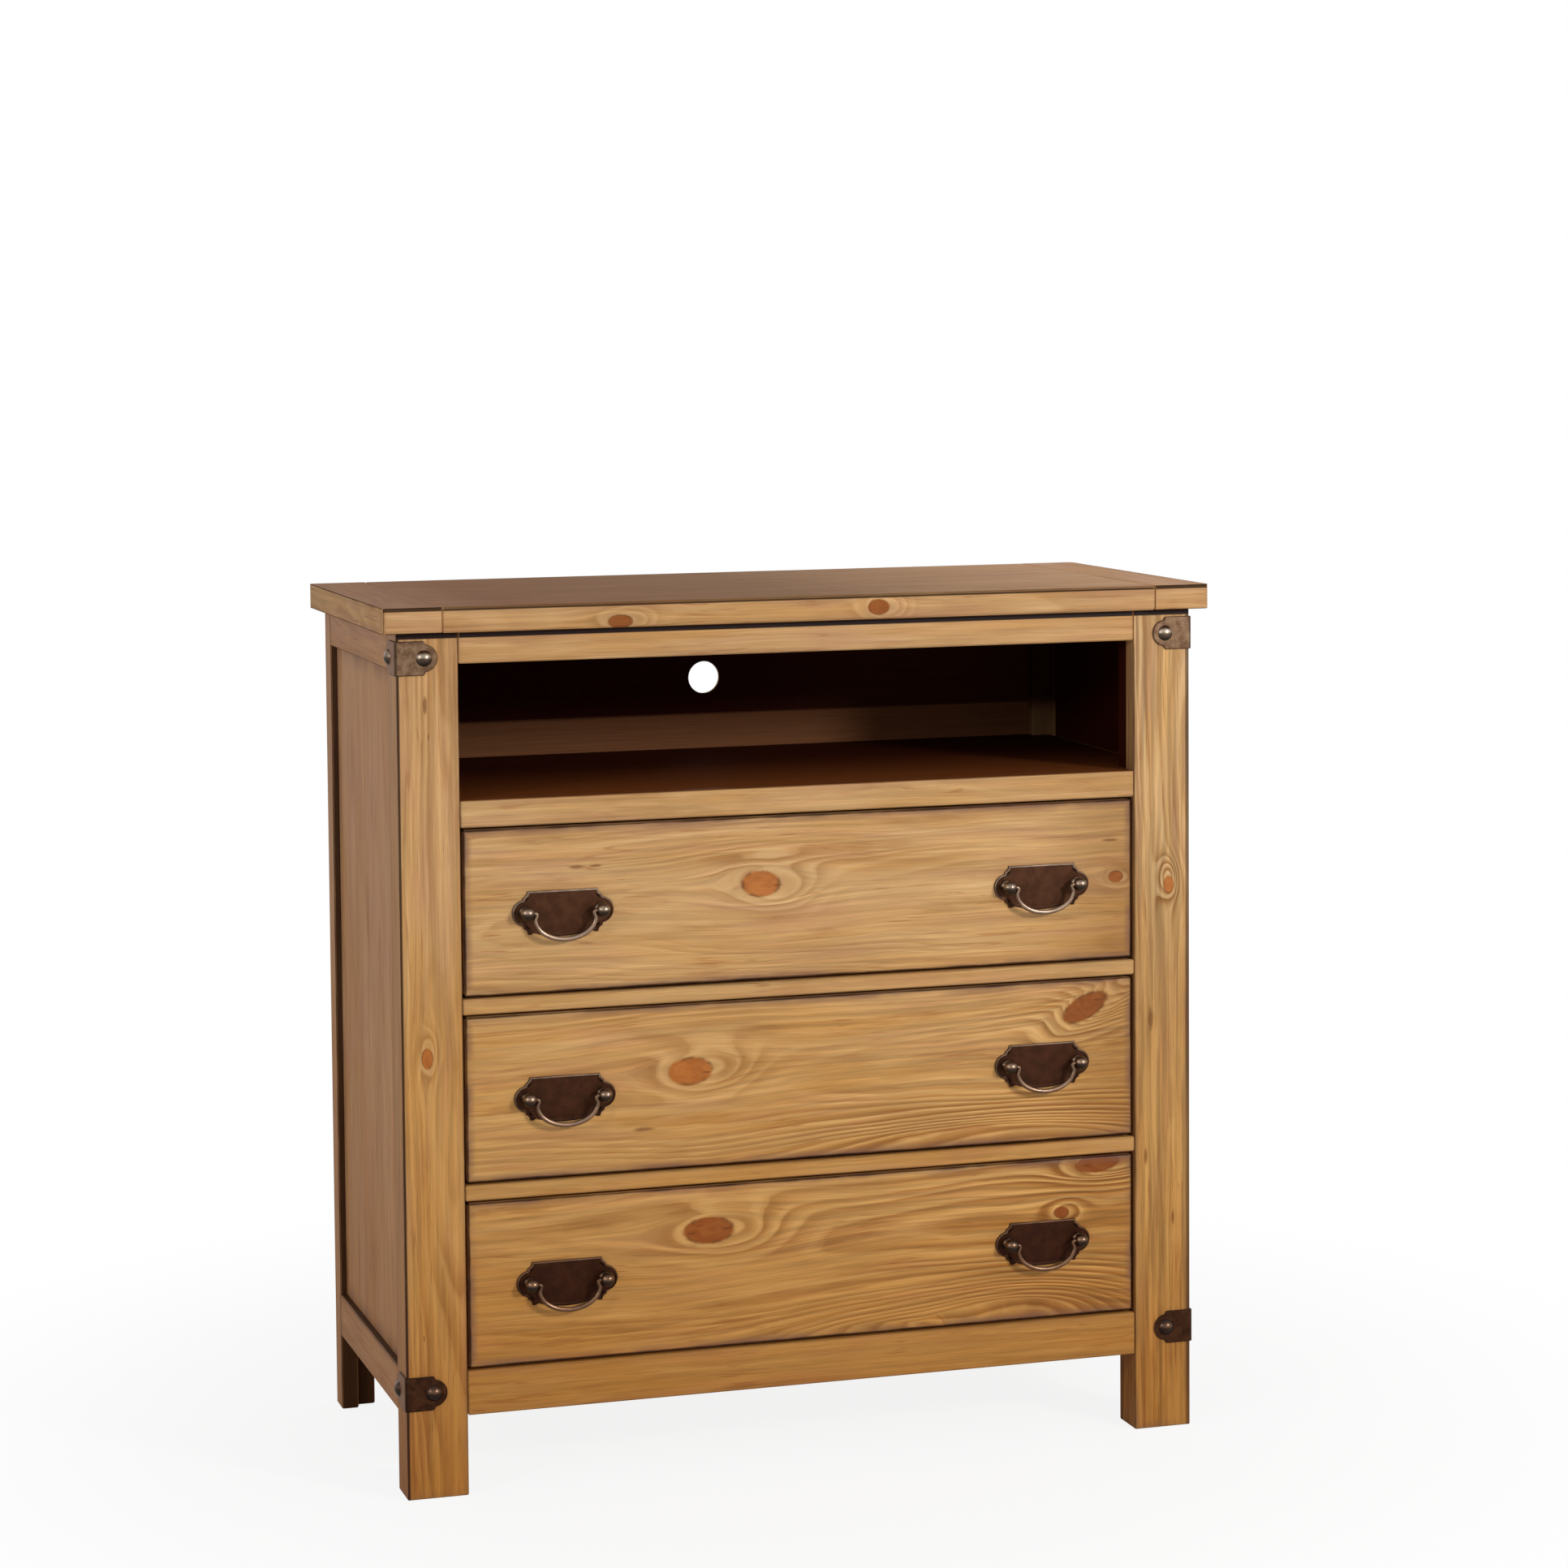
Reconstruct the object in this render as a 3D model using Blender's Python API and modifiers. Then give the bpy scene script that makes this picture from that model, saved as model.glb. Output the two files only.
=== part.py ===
"""Media chest of knotty pine: an open compartment over three drawers, with iron pulls and corner brackets.

Metres, +Z up. The front faces -Y. X = 0 is the middle and Z = 0 the floor. Inside the script, Y = 0 is the
front face of the front frame. One empty then moves everything, so that the origin lies under the middle of
the whole chest.
"""

import math

import bmesh
import bpy
from mathutils import Matrix, Vector

# Gaps
GAP = 0.0003  # between two pieces that touch
RUNNING = 0.0015  # between a drawer and what guides it

# Carcass
CARCASS_WIDTH = 0.927
CARCASS_DEPTH = 0.415
CARCASS_HEIGHT = 0.954  # without the top; the drawers share what the rest leaves
FOOT_HEIGHT = 0.089
BOTTOM_RAIL_HEIGHT = 0.049
DRAWER_COUNT = 3
DRAWER_RAIL_HEIGHT = 0.017
SHELF_RAIL_HEIGHT = 0.030
MEDIA_OPENING = 0.150
TOP_RAIL_HEIGHT = 0.035
RAIL_THICKNESS = 0.022
EASE = 0.0015  # worn edge of the frame's pieces

# Legs
FRONT_LEG_WIDTH = 0.0685
FRONT_LEG_DEPTH = 0.048
REAR_LEG_WIDTH = 0.042
REAR_LEG_DEPTH = 0.033
REAR_LEG_WALL = 0.020

# Sides and back
SIDE_RAIL_THICKNESS = 0.020
SIDE_TOP_RAIL_HEIGHT = 0.043
PANEL_RECESS = 0.0075
PANEL_THICKNESS = 0.009
PANEL_LAP = 0.008
BACK_PANEL_THICKNESS = 0.005
BACK_PANEL_LAP = 0.012
BACK_RAIL_HEIGHT = 0.045
CABLE_HOLE_RADIUS = 0.0195
CABLE_HOLE_DROP = 0.064  # under the media opening's upper edge

# Top
TOP_THICKNESS = 0.028
TOP_OVERHANG_SIDE = 0.018
TOP_OVERHANG_FRONT = 0.016
END_BOARD_WIDTH = 0.066
TONGUE_LENGTH = 0.012
TONGUE_THICKNESS = 0.009
TONGUE_STOP = 0.020  # from the top's front and rear edges to the tongue's ends
TOP_CORNER_RADIUS = 0.006
TOP_EASE = 0.0022

# Shelf and drawer runners
SHELF_THICKNESS = 0.015
SHELF_LAP = 0.008  # into the shelf rail
SHELF_BACK_RAIL_HEIGHT = 0.030
RUNNER_THICKNESS = 0.017
RUNNER_LEDGE = 0.016  # how far the ledge reaches under the drawer side
GUIDE_WIDTH = 0.014
GUIDE_HEIGHT = 0.015

# Drawers
FRONT_THICKNESS = 0.020
FRONT_RECESS = 0.0015
FRONT_MARGIN = 0.003  # gap round the drawer front
FRONT_EASE = 0.0028
BOX_INSET = 0.014  # from the leg's inner face to the drawer side
BOX_REAR_ROOM = 0.0432  # from a closed drawer to the back panel
BOX_HEADROOM = 0.039  # over a drawer's sides, in its opening
BOX_WALL = 0.012
BOTTOM_THICKNESS = 0.006
BOTTOM_RAISE = 0.010
BOTTOM_LAP = 0.006

# Pull plates
PULL_INSET = 0.111  # from the end of a drawer front to the pull's middle
PULL_DROP = 0.0025  # under the middle of the drawer front
POST_SPACING = 0.0855
PLATE_HALF_HEIGHT = 0.024
PLATE_THICKNESS = 0.0022
PLATE_EASE = 0.0006
SHOULDER_INSET = 0.003  # from a post's middle to the end of the straight upper edge
LOBE_RADIUS = 0.0147
NOTCH_RADIUS = 0.0068
HOLLOW_INSET = 0.010  # from a post's middle to the hollow in the lower edge
HOLLOW_DEPTH = 0.0018
BULGE_DEPTH = 0.0050

# Pull posts
POST_RAISE = 0.0010  # over the plate's middle
BALL_RADIUS = 0.0078
BALL_STANDOFF = 0.0112  # from the plate to the ball's middle
NECK_RADIUS = 0.0042
COLLAR_RADIUS = 0.0066
COLLAR_THICKNESS = 0.0018
POST_ROOT = 0.0010  # how far the collar is let into the plate
SHANK_RADIUS = 0.0018
SHANK_LENGTH = 0.013  # in the drawer front

# Bails
WIRE_RADIUS = 0.0025
BAIL_DROP = 0.0300
BAIL_CORNER_RADIUS = 0.0026
BALL_CLEARANCE = 0.0004  # between the ball and the bail's neck
NECK_TURN = 38  # degrees that the neck bends round under the ball
PIN_REACH = 0.0045  # how far the bail's end goes into the ball

# Corner brackets
BRACKET_HEIGHT = 0.0375
BRACKET_LENGTH = 0.0455
BRACKET_SHOULDER = 0.031
BRACKET_THICKNESS = 0.0018
BRACKET_STEP = 0.0012
EAR_RADIUS = 0.0150
STUD_RADIUS = 0.0089
STUD_HEIGHT = 0.0052
STUD_ROOT = 0.0006  # how far a stud's base is let into its bracket
BRACKET_TOP_DROP = 0.009  # under the leg's top
BRACKET_BOTTOM_RAISE = 0.010  # over the bottom rail's lower edge

# Facets of the round pieces
POST_SIDES = 14
STUD_SIDES = 14
BORE_SIDES = 10
CABLE_HOLE_SIDES = 32

# Worked out from the sizes above
HALF_WIDTH = CARCASS_WIDTH / 2
LEG_HEIGHT = CARCASS_HEIGHT
BOTTOM_RAIL_TOP = FOOT_HEIGHT + BOTTOM_RAIL_HEIGHT
TOP_RAIL_BOTTOM = LEG_HEIGHT - TOP_RAIL_HEIGHT
SHELF_TOP = TOP_RAIL_BOTTOM - MEDIA_OPENING
SHELF_RAIL_BOTTOM = SHELF_TOP - SHELF_RAIL_HEIGHT
SHELF_UNDERSIDE = SHELF_TOP - SHELF_THICKNESS
DRAWER_PITCH = (SHELF_RAIL_BOTTOM + DRAWER_RAIL_HEIGHT - BOTTOM_RAIL_TOP) / DRAWER_COUNT
DRAWER_OPENING = DRAWER_PITCH - DRAWER_RAIL_HEIGHT
SIDE_TOP_RAIL_BOTTOM = LEG_HEIGHT - SIDE_TOP_RAIL_HEIGHT
INNER_X = HALF_WIDTH - FRONT_LEG_WIDTH  # the front legs' inner faces
PANEL_OUTER_X = HALF_WIDTH - PANEL_RECESS
REAR_WALL_X = HALF_WIDTH - REAR_LEG_WALL
CASE_INNER_X = min(REAR_WALL_X, HALF_WIDTH - SIDE_RAIL_THICKNESS)
REAR_LEG_X = HALF_WIDTH - REAR_LEG_WIDTH
REAR_LEG_Y = CARCASS_DEPTH - REAR_LEG_DEPTH
REAR_WALL_Y = CARCASS_DEPTH - REAR_LEG_WALL
BACK_PANEL_Y = CARCASS_DEPTH - BACK_PANEL_THICKNESS
BOX_X = INNER_X - BOX_INSET  # outer face of a drawer side
FRONT_X = INNER_X - FRONT_MARGIN
PULL_X = FRONT_X - PULL_INSET
BOX_START_Y = FRONT_RECESS + FRONT_THICKNESS + GAP
BOX_END_Y = BACK_PANEL_Y - BOX_REAR_ROOM
BOX_HEIGHT = DRAWER_OPENING - BOX_HEADROOM
PLATE_FRONT_Y = FRONT_RECESS - GAP - PLATE_THICKNESS
HINGE_Y = PLATE_FRONT_Y - BALL_STANDOFF
POST_X = POST_SPACING / 2
SHOULDER_X = POST_X - SHOULDER_INSET
BAIL_BEND = BALL_RADIUS + BALL_CLEARANCE + WIRE_RADIUS  # radius of the neck round the ball
FRONT_REACH = max(BALL_RADIUS - HINGE_Y, TOP_OVERHANG_FRONT)
MIDDLE_Y = (CARCASS_DEPTH - FRONT_REACH) / 2
SIDES = {"left": -1, "right": 1}
ALONG_Y = (math.pi / 2, 0, 0)  # turns an outline drawn in X and Z so that it is extruded along Y

# Linear red, green and blue; then roughness and metallic
FINISHES = {
    "pine_front": ((0.50, 0.27, 0.115), 0.45, 0.0),
    "pine_side": ((0.31, 0.18, 0.10), 0.5, 0.0),
    "pine_top": ((0.36, 0.22, 0.13), 0.4, 0.0),
    "pine_inside": ((0.42, 0.27, 0.14), 0.65, 0.0),
    "dark_iron": ((0.045, 0.027, 0.020), 0.42, 0.85),
}


# Scene
def clear_scene():
    for item in list(bpy.data.objects):
        bpy.data.objects.remove(item, do_unlink=True)


def new_collection(name):
    collection = bpy.data.collections.new(name)
    bpy.context.scene.collection.children.link(collection)
    return collection


clear_scene()
CHEST = new_collection("media_chest")
CUTTERS = new_collection("cutters")
CUTTERS.hide_render = True
ROOT = bpy.data.objects.new("chest_origin", None)
ROOT.location = (0, -MIDDLE_Y, 0)
CHEST.objects.link(ROOT)


# Helpers
def give_material(item, finish):
    """Each piece has a material of its own, named for it."""
    colour, roughness, metallic = FINISHES[finish]
    material = bpy.data.materials.new(item.name)
    material.use_nodes = True
    shader = material.node_tree.nodes["Principled BSDF"]
    shader.inputs["Base Color"].default_value = (*colour, 1)
    shader.inputs["Roughness"].default_value = roughness
    shader.inputs["Metallic"].default_value = metallic
    material.diffuse_color = (*colour, 1)
    item.data.materials.clear()
    item.data.materials.append(material)


def place(item, location, parent=ROOT):
    """Puts the piece at a place given in the chest's own frame, under its parent empty."""
    item.parent = parent
    offset = Vector((0, 0, 0)) if parent is ROOT else parent.location
    item.location = Vector(location) - offset


def add_piece(name, mesh, location, finish, parent=ROOT, rotation=(0, 0, 0)):
    item = bpy.data.objects.new(name, mesh)
    CHEST.objects.link(item)
    item.rotation_euler = rotation
    place(item, location, parent)
    give_material(item, finish)
    return item


def add_cutter(name, mesh, location, parent=ROOT, rotation=(0, 0, 0)):
    item = bpy.data.objects.new(name, mesh)
    CUTTERS.objects.link(item)
    item.rotation_euler = rotation
    place(item, location, parent)
    item.display_type = "WIRE"
    item.hide_render = True
    return item


def combine(item, operation, other):
    """Cuts the other shape out of the piece, or joins it to the piece."""
    step = item.modifiers.new(other.name, "BOOLEAN")
    step.operation = operation
    step.solver = "EXACT"
    step.object = other


def ease_edges(item, width, segments=1):
    """Eases the outer edges only, so that nothing grows in a piece's inner corners."""
    shape = bmesh.new()
    shape.from_mesh(item.data)
    weight = shape.edges.layers.float.new("bevel_weight_edge")
    for edge in shape.edges:
        if len(edge.link_faces) == 2 and edge.is_convex and edge.calc_face_angle() > math.radians(30):
            edge[weight] = 1
    shape.to_mesh(item.data)
    shape.free()
    bevel = item.modifiers.new("eased_edges", "BEVEL")
    bevel.width = width
    bevel.segments = segments
    bevel.limit_method = "WEIGHT"


def smooth(mesh, angle=40):
    mesh.shade_smooth()
    mesh.set_sharp_from_angle(angle=math.radians(angle))


def cube_mesh(name, size):
    mesh = bpy.data.meshes.new(name)
    shape = bmesh.new()
    bmesh.ops.create_cube(shape, size=1, matrix=Matrix.Diagonal((*size, 1)))
    shape.to_mesh(mesh)
    shape.free()
    return mesh


def mirrored(low, high, side):
    """The corners of a board given for the right side, moved to the side asked for."""
    if side > 0:
        return low, high
    return (-high[0], *low[1:]), (-low[0], *high[1:])


def board(name, low, high, finish, parent=ROOT, ease=EASE, segments=1):
    """A board between two corners, with its edges eased."""
    low, high = Vector(low), Vector(high)
    item = add_piece(name, cube_mesh(name, high - low), (low + high) / 2, finish, parent)
    if ease:
        ease_edges(item, ease, segments)
    return item


def groove_for(name, low, high, parent=ROOT):
    """A cutter the size of a board that sits in a groove, with the gap all round it."""
    low, high = Vector(low), Vector(high)
    size = high - low + Vector((2 * GAP, 2 * GAP, 2 * GAP))
    return add_cutter(name, cube_mesh(name, size), (low + high) / 2, parent)


def arc(centre, radius, start, end, steps):
    """Points on an arc, angles in degrees; an end below the start turns clockwise."""
    angles = [math.radians(start + (end - start) * step / steps) for step in range(steps + 1)]
    across, up = centre
    return [(across + radius * math.cos(angle), up + radius * math.sin(angle)) for angle in angles]


def ring(centre, radius, sides):
    """The closed outline of a round hole."""
    return arc(centre, radius, 0, 360, sides)[:-1]


def mesh_of(item):
    """The evaluated mesh of a curve or of an object with modifiers, closed; the object is removed."""
    CHEST.objects.link(item)
    bpy.context.view_layer.update()
    graph = bpy.context.evaluated_depsgraph_get()
    mesh = bpy.data.meshes.new_from_object(item.evaluated_get(graph))
    shape = bmesh.new()
    shape.from_mesh(mesh)
    bmesh.ops.remove_doubles(shape, verts=shape.verts, dist=1e-6)
    bmesh.ops.recalc_face_normals(shape, faces=shape.faces)
    shape.to_mesh(mesh)
    shape.free()
    mesh.name = item.name
    bpy.data.objects.remove(item, do_unlink=True)
    return mesh


def outline_mesh(name, loops, thickness):
    """A flat piece from closed outlines in its own XY plane: the outer one, then any holes."""
    curve = bpy.data.curves.new(name, "CURVE")
    curve.dimensions = "2D"
    curve.fill_mode = "BOTH"
    curve.extrude = thickness / 2
    for points in loops:
        spline = curve.splines.new("POLY")
        spline.points.add(len(points) - 1)
        for spot, (across, up) in zip(spline.points, points):
            spot.co = (across, up, 0, 1)
        spline.use_cyclic_u = True
    return mesh_of(bpy.data.objects.new(name, curve))


def turned_mesh(name, profile, sides):
    """A turned solid about its own Z: the profile lies at +X and runs from top to bottom."""
    line = bpy.data.meshes.new(name)
    shape = bmesh.new()
    spots = [shape.verts.new((across, 0, up)) for across, up in profile]
    for first, second in zip(spots, spots[1:]):
        shape.edges.new((first, second))
    shape.to_mesh(line)
    shape.free()
    item = bpy.data.objects.new(name, line)
    screw = item.modifiers.new("turn", "SCREW")
    screw.steps = sides
    screw.render_steps = sides
    screw.use_merge_vertices = True
    screw.merge_threshold = 0.00001
    mesh = mesh_of(item)
    smooth(mesh)
    return mesh


def copies(name, mesh, matrices):
    """One mesh that holds a copy at each matrix, for a cutter or for what is joined to a piece."""
    shape = bmesh.new()
    for matrix in matrices:
        before = len(shape.verts)
        shape.from_mesh(mesh)
        shape.verts.ensure_lookup_table()
        bmesh.ops.transform(shape, matrix=matrix, verts=shape.verts[before:])
    result = bpy.data.meshes.new(name)
    shape.to_mesh(result)
    shape.free()
    smooth(result)
    return result


def rod_mesh(name, radius, length):
    """A round cutter along its own Z."""
    mesh = bpy.data.meshes.new(name)
    shape = bmesh.new()
    bmesh.ops.create_cone(
        shape, cap_ends=True, segments=BORE_SIDES, radius1=radius, radius2=radius, depth=length
    )
    shape.to_mesh(mesh)
    shape.free()
    return mesh


def extruded(name, points, length, middle, rotation, finish, ease=EASE):
    """A board of one section all along."""
    item = add_piece(name, outline_mesh(name, [points], length), middle, finish, rotation=rotation)
    if ease:
        ease_edges(item, ease)
    return item


# Legs: the front ones are solid posts, the rear ones angles of two boards
def make_legs():
    legs = {}
    angle = [
        (REAR_LEG_X, CARCASS_DEPTH),
        (REAR_LEG_X, REAR_WALL_Y),
        (REAR_WALL_X, REAR_WALL_Y),
        (REAR_WALL_X, REAR_LEG_Y),
        (HALF_WIDTH, REAR_LEG_Y),
        (HALF_WIDTH, CARCASS_DEPTH),
    ]
    middle = (0, 0, LEG_HEIGHT / 2)
    for side_name, side in SIDES.items():
        low, high = mirrored((INNER_X, 0, 0), (HALF_WIDTH, FRONT_LEG_DEPTH, LEG_HEIGHT), side)
        legs["front", side] = board("front_leg_" + side_name, low, high, "pine_front", segments=2)
        points = [(side * x, y) for x, y in angle]
        legs["rear", side] = extruded(
            "rear_leg_" + side_name, points, LEG_HEIGHT, middle, (0, 0, 0), "pine_side"
        )
    return legs


# Front frame
def make_front_frame():
    reach = INNER_X - GAP

    def rail(name, bottom, height, depth=RAIL_THICKNESS):
        return board(name, (-reach, 0, bottom), (reach, depth, bottom + height), "pine_front")

    rail("bottom_rail", FOOT_HEIGHT, BOTTOM_RAIL_HEIGHT)
    rail("top_rail", TOP_RAIL_BOTTOM, TOP_RAIL_HEIGHT)
    for number in range(1, DRAWER_COUNT):
        under_drawer = BOTTOM_RAIL_TOP + (DRAWER_COUNT - number) * DRAWER_PITCH - DRAWER_RAIL_HEIGHT
        rail(f"drawer_rail_{number}", under_drawer, DRAWER_RAIL_HEIGHT, FRONT_LEG_DEPTH)
    shelf_rail = rail("shelf_rail", SHELF_RAIL_BOTTOM, SHELF_RAIL_HEIGHT)
    low = (-reach, RAIL_THICKNESS - SHELF_LAP, SHELF_UNDERSIDE)
    combine(shelf_rail, "DIFFERENCE", groove_for("shelf_rabbet", low, (reach, RAIL_THICKNESS, SHELF_TOP)))


# Sides: two rails and a panel that floats in grooves
def make_sides(legs):
    levels = {
        "side_bottom_rail_": (FOOT_HEIGHT, BOTTOM_RAIL_TOP),
        "side_top_rail_": (SIDE_TOP_RAIL_BOTTOM, LEG_HEIGHT),
    }
    for side_name, side in SIDES.items():
        rails = []
        for name, (bottom, top) in levels.items():
            low = (HALF_WIDTH - SIDE_RAIL_THICKNESS, FRONT_LEG_DEPTH + GAP, bottom)
            high = (HALF_WIDTH, REAR_LEG_Y - GAP, top)
            rails.append(board(name + side_name, *mirrored(low, high, side), "pine_side"))
        low = (PANEL_OUTER_X - PANEL_THICKNESS, FRONT_LEG_DEPTH - PANEL_LAP, BOTTOM_RAIL_TOP - PANEL_LAP)
        high = (PANEL_OUTER_X, REAR_LEG_Y + PANEL_LAP, SIDE_TOP_RAIL_BOTTOM + PANEL_LAP)
        low, high = mirrored(low, high, side)
        board("side_panel_" + side_name, low, high, "pine_side", ease=0)
        groove = groove_for("panel_groove_" + side_name, low, high)
        for piece in (legs["front", side], legs["rear", side], *rails):
            combine(piece, "DIFFERENCE", groove)


# Back: two rails, and a thin panel in a rabbet, with the cable hole
def make_back(legs):
    reach = REAR_LEG_X - GAP
    upper_rail_bottom = LEG_HEIGHT - BACK_RAIL_HEIGHT
    rails = []
    for name, bottom in (("back_bottom_rail", FOOT_HEIGHT), ("back_top_rail", upper_rail_bottom)):
        low, high = (-reach, REAR_WALL_Y, bottom), (reach, CARCASS_DEPTH, bottom + BACK_RAIL_HEIGHT)
        rails.append(board(name, low, high, "pine_inside"))
    half_panel = REAR_LEG_X + BACK_PANEL_LAP
    panel_bottom = FOOT_HEIGHT + BACK_RAIL_HEIGHT - BACK_PANEL_LAP
    panel_top = upper_rail_bottom + BACK_PANEL_LAP
    low, high = (-half_panel, BACK_PANEL_Y, panel_bottom), (half_panel, CARCASS_DEPTH, panel_top)
    rabbet = groove_for("back_rabbet", low, high)
    for piece in (legs["rear", -1], legs["rear", 1], *rails):
        combine(piece, "DIFFERENCE", rabbet)
    edge = [(-half_panel, panel_bottom), (half_panel, panel_bottom)]
    edge += [(half_panel, panel_top), (-half_panel, panel_top)]
    hole = ring((0, TOP_RAIL_BOTTOM - CABLE_HOLE_DROP), CABLE_HOLE_RADIUS, CABLE_HOLE_SIDES)
    mesh = outline_mesh("back_panel", [edge, hole], BACK_PANEL_THICKNESS)
    middle = (0, CARCASS_DEPTH - BACK_PANEL_THICKNESS / 2, 0)
    add_piece("back_panel", mesh, middle, "pine_inside", rotation=ALONG_Y)


# Top: a board with a stopped tongue at each end, in grooved end boards
def make_top():
    end_x = HALF_WIDTH + TOP_OVERHANG_SIDE
    joint_x = end_x - END_BOARD_WIDTH
    tip_x = joint_x + TONGUE_LENGTH
    front, rear = -TOP_OVERHANG_FRONT, CARCASS_DEPTH
    bottom = LEG_HEIGHT + GAP
    top = bottom + TOP_THICKNESS
    middle_z = (bottom + top) / 2
    table = board("top_board", (-joint_x, front, bottom), (joint_x, rear, top), "pine_top", ease=TOP_EASE)
    corner_x = end_x - TOP_CORNER_RADIUS
    outline = [(joint_x + GAP, rear), (joint_x + GAP, front)]
    outline += arc((corner_x, front + TOP_CORNER_RADIUS), TOP_CORNER_RADIUS, -90, 0, 4)
    outline += arc((corner_x, rear - TOP_CORNER_RADIUS), TOP_CORNER_RADIUS, 0, 90, 4)
    for side_name, side in SIDES.items():
        low = (joint_x - TONGUE_LENGTH, front + TONGUE_STOP, middle_z - TONGUE_THICKNESS / 2)
        high = (tip_x, rear - TONGUE_STOP, middle_z + TONGUE_THICKNESS / 2)
        low, high = (Vector(corner) for corner in mirrored(low, high, side))
        tongue = add_cutter("tongue_" + side_name, cube_mesh("tongue", high - low), (low + high) / 2)
        combine(table, "UNION", tongue)
        points = [(side * x, y) for x, y in outline]
        name = "top_end_" + side_name
        end = extruded(name, points, TOP_THICKNESS, (0, 0, middle_z), (0, 0, 0), "pine_top", TOP_EASE)
        combine(end, "DIFFERENCE", groove_for("tongue_groove_" + side_name, low, high))


# Shelf, notched round the legs: it lies in the shelf rail's rabbet and on a rail at the back
def make_shelf():
    front_x, wide_x, rear_x = INNER_X - GAP, CASE_INNER_X - GAP, REAR_LEG_X - GAP
    front_y, rear_y = RAIL_THICKNESS - SHELF_LAP, BACK_PANEL_Y - GAP
    front_step, rear_step = FRONT_LEG_DEPTH + GAP, REAR_WALL_Y - GAP
    right = [(front_x, front_y), (front_x, front_step), (wide_x, front_step)]
    right += [(wide_x, rear_step), (rear_x, rear_step), (rear_x, rear_y)]
    left = [(-x, y) for x, y in reversed(right)]
    middle = (0, 0, SHELF_TOP - SHELF_THICKNESS / 2)
    extruded("shelf_board", right + left, SHELF_THICKNESS, middle, (0, 0, 0), "pine_inside", 0)
    rail_top = SHELF_UNDERSIDE - GAP
    low = (-rear_x, REAR_WALL_Y, rail_top - SHELF_BACK_RAIL_HEIGHT)
    board("back_shelf_rail", low, (rear_x, rear_y, rail_top), "pine_inside")


# Drawer runners: a ledge under each drawer side, with an upstand that guides it
def make_runners(number, floor_z):
    guide_x = BOX_X + RUNNING
    ledge_x = BOX_X - RUNNER_LEDGE
    outer_x = CASE_INNER_X - GAP
    section = [
        (ledge_x, floor_z - RUNNER_THICKNESS),
        (outer_x, floor_z - RUNNER_THICKNESS),
        (outer_x, floor_z),
        (guide_x + GUIDE_WIDTH, floor_z),
        (guide_x + GUIDE_WIDTH, floor_z + GUIDE_HEIGHT),
        (guide_x, floor_z + GUIDE_HEIGHT),
        (guide_x, floor_z),
        (ledge_x, floor_z),
    ]
    start, end = FRONT_LEG_DEPTH + GAP, REAR_WALL_Y - GAP
    middle = (0, (start + end) / 2, 0)
    for side_name, side in SIDES.items():
        points = [(side * x, z) for x, z in section]
        name = f"drawer_runner_{side_name}_{number}"
        extruded(name, points, end - start, middle, ALONG_Y, "pine_inside", 0)


# Drawer: a front, two sides and a back round a bottom that sits in their grooves
def make_drawer(number, floor_z):
    middle_z = floor_z + DRAWER_OPENING / 2
    slide = bpy.data.objects.new(f"drawer_{number}_slide", None)
    slide.parent = ROOT
    slide.location = (0, FRONT_RECESS, middle_z)
    CHEST.objects.link(slide)
    low = (-FRONT_X, FRONT_RECESS, floor_z + FRONT_MARGIN)
    high = (FRONT_X, FRONT_RECESS + FRONT_THICKNESS, floor_z + DRAWER_OPENING - FRONT_MARGIN)
    front = board(f"drawer_front_{number}", low, high, "pine_front", slide, FRONT_EASE, 2)
    bottom_z, top_z = floor_z + GAP, floor_z + GAP + BOX_HEIGHT
    inner_x, inner_end = BOX_X - BOX_WALL, BOX_END_Y - BOX_WALL
    walls = [front]
    for side_name, side in SIDES.items():
        low, high = mirrored((inner_x, BOX_START_Y, bottom_z), (BOX_X, BOX_END_Y, top_z), side)
        walls.append(board(f"drawer_side_{side_name}_{number}", low, high, "pine_inside", slide))
    low, high = (GAP - inner_x, inner_end, bottom_z), (inner_x - GAP, BOX_END_Y, top_z)
    walls.append(board(f"drawer_back_{number}", low, high, "pine_inside", slide))
    low = (-inner_x - BOTTOM_LAP, BOX_START_Y - GAP - BOTTOM_LAP, bottom_z + BOTTOM_RAISE)
    high = (inner_x + BOTTOM_LAP, inner_end + BOTTOM_LAP, bottom_z + BOTTOM_RAISE + BOTTOM_THICKNESS)
    board(f"drawer_bottom_{number}", low, high, "pine_inside", slide, 0)
    groove = groove_for(f"bottom_groove_{number}", low, high, slide)
    for wall in walls:
        combine(wall, "DIFFERENCE", groove)
    for side_name, side in SIDES.items():
        make_pull(f"{side_name}_{number}", (side * PULL_X, middle_z - PULL_DROP), slide, front)


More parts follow.
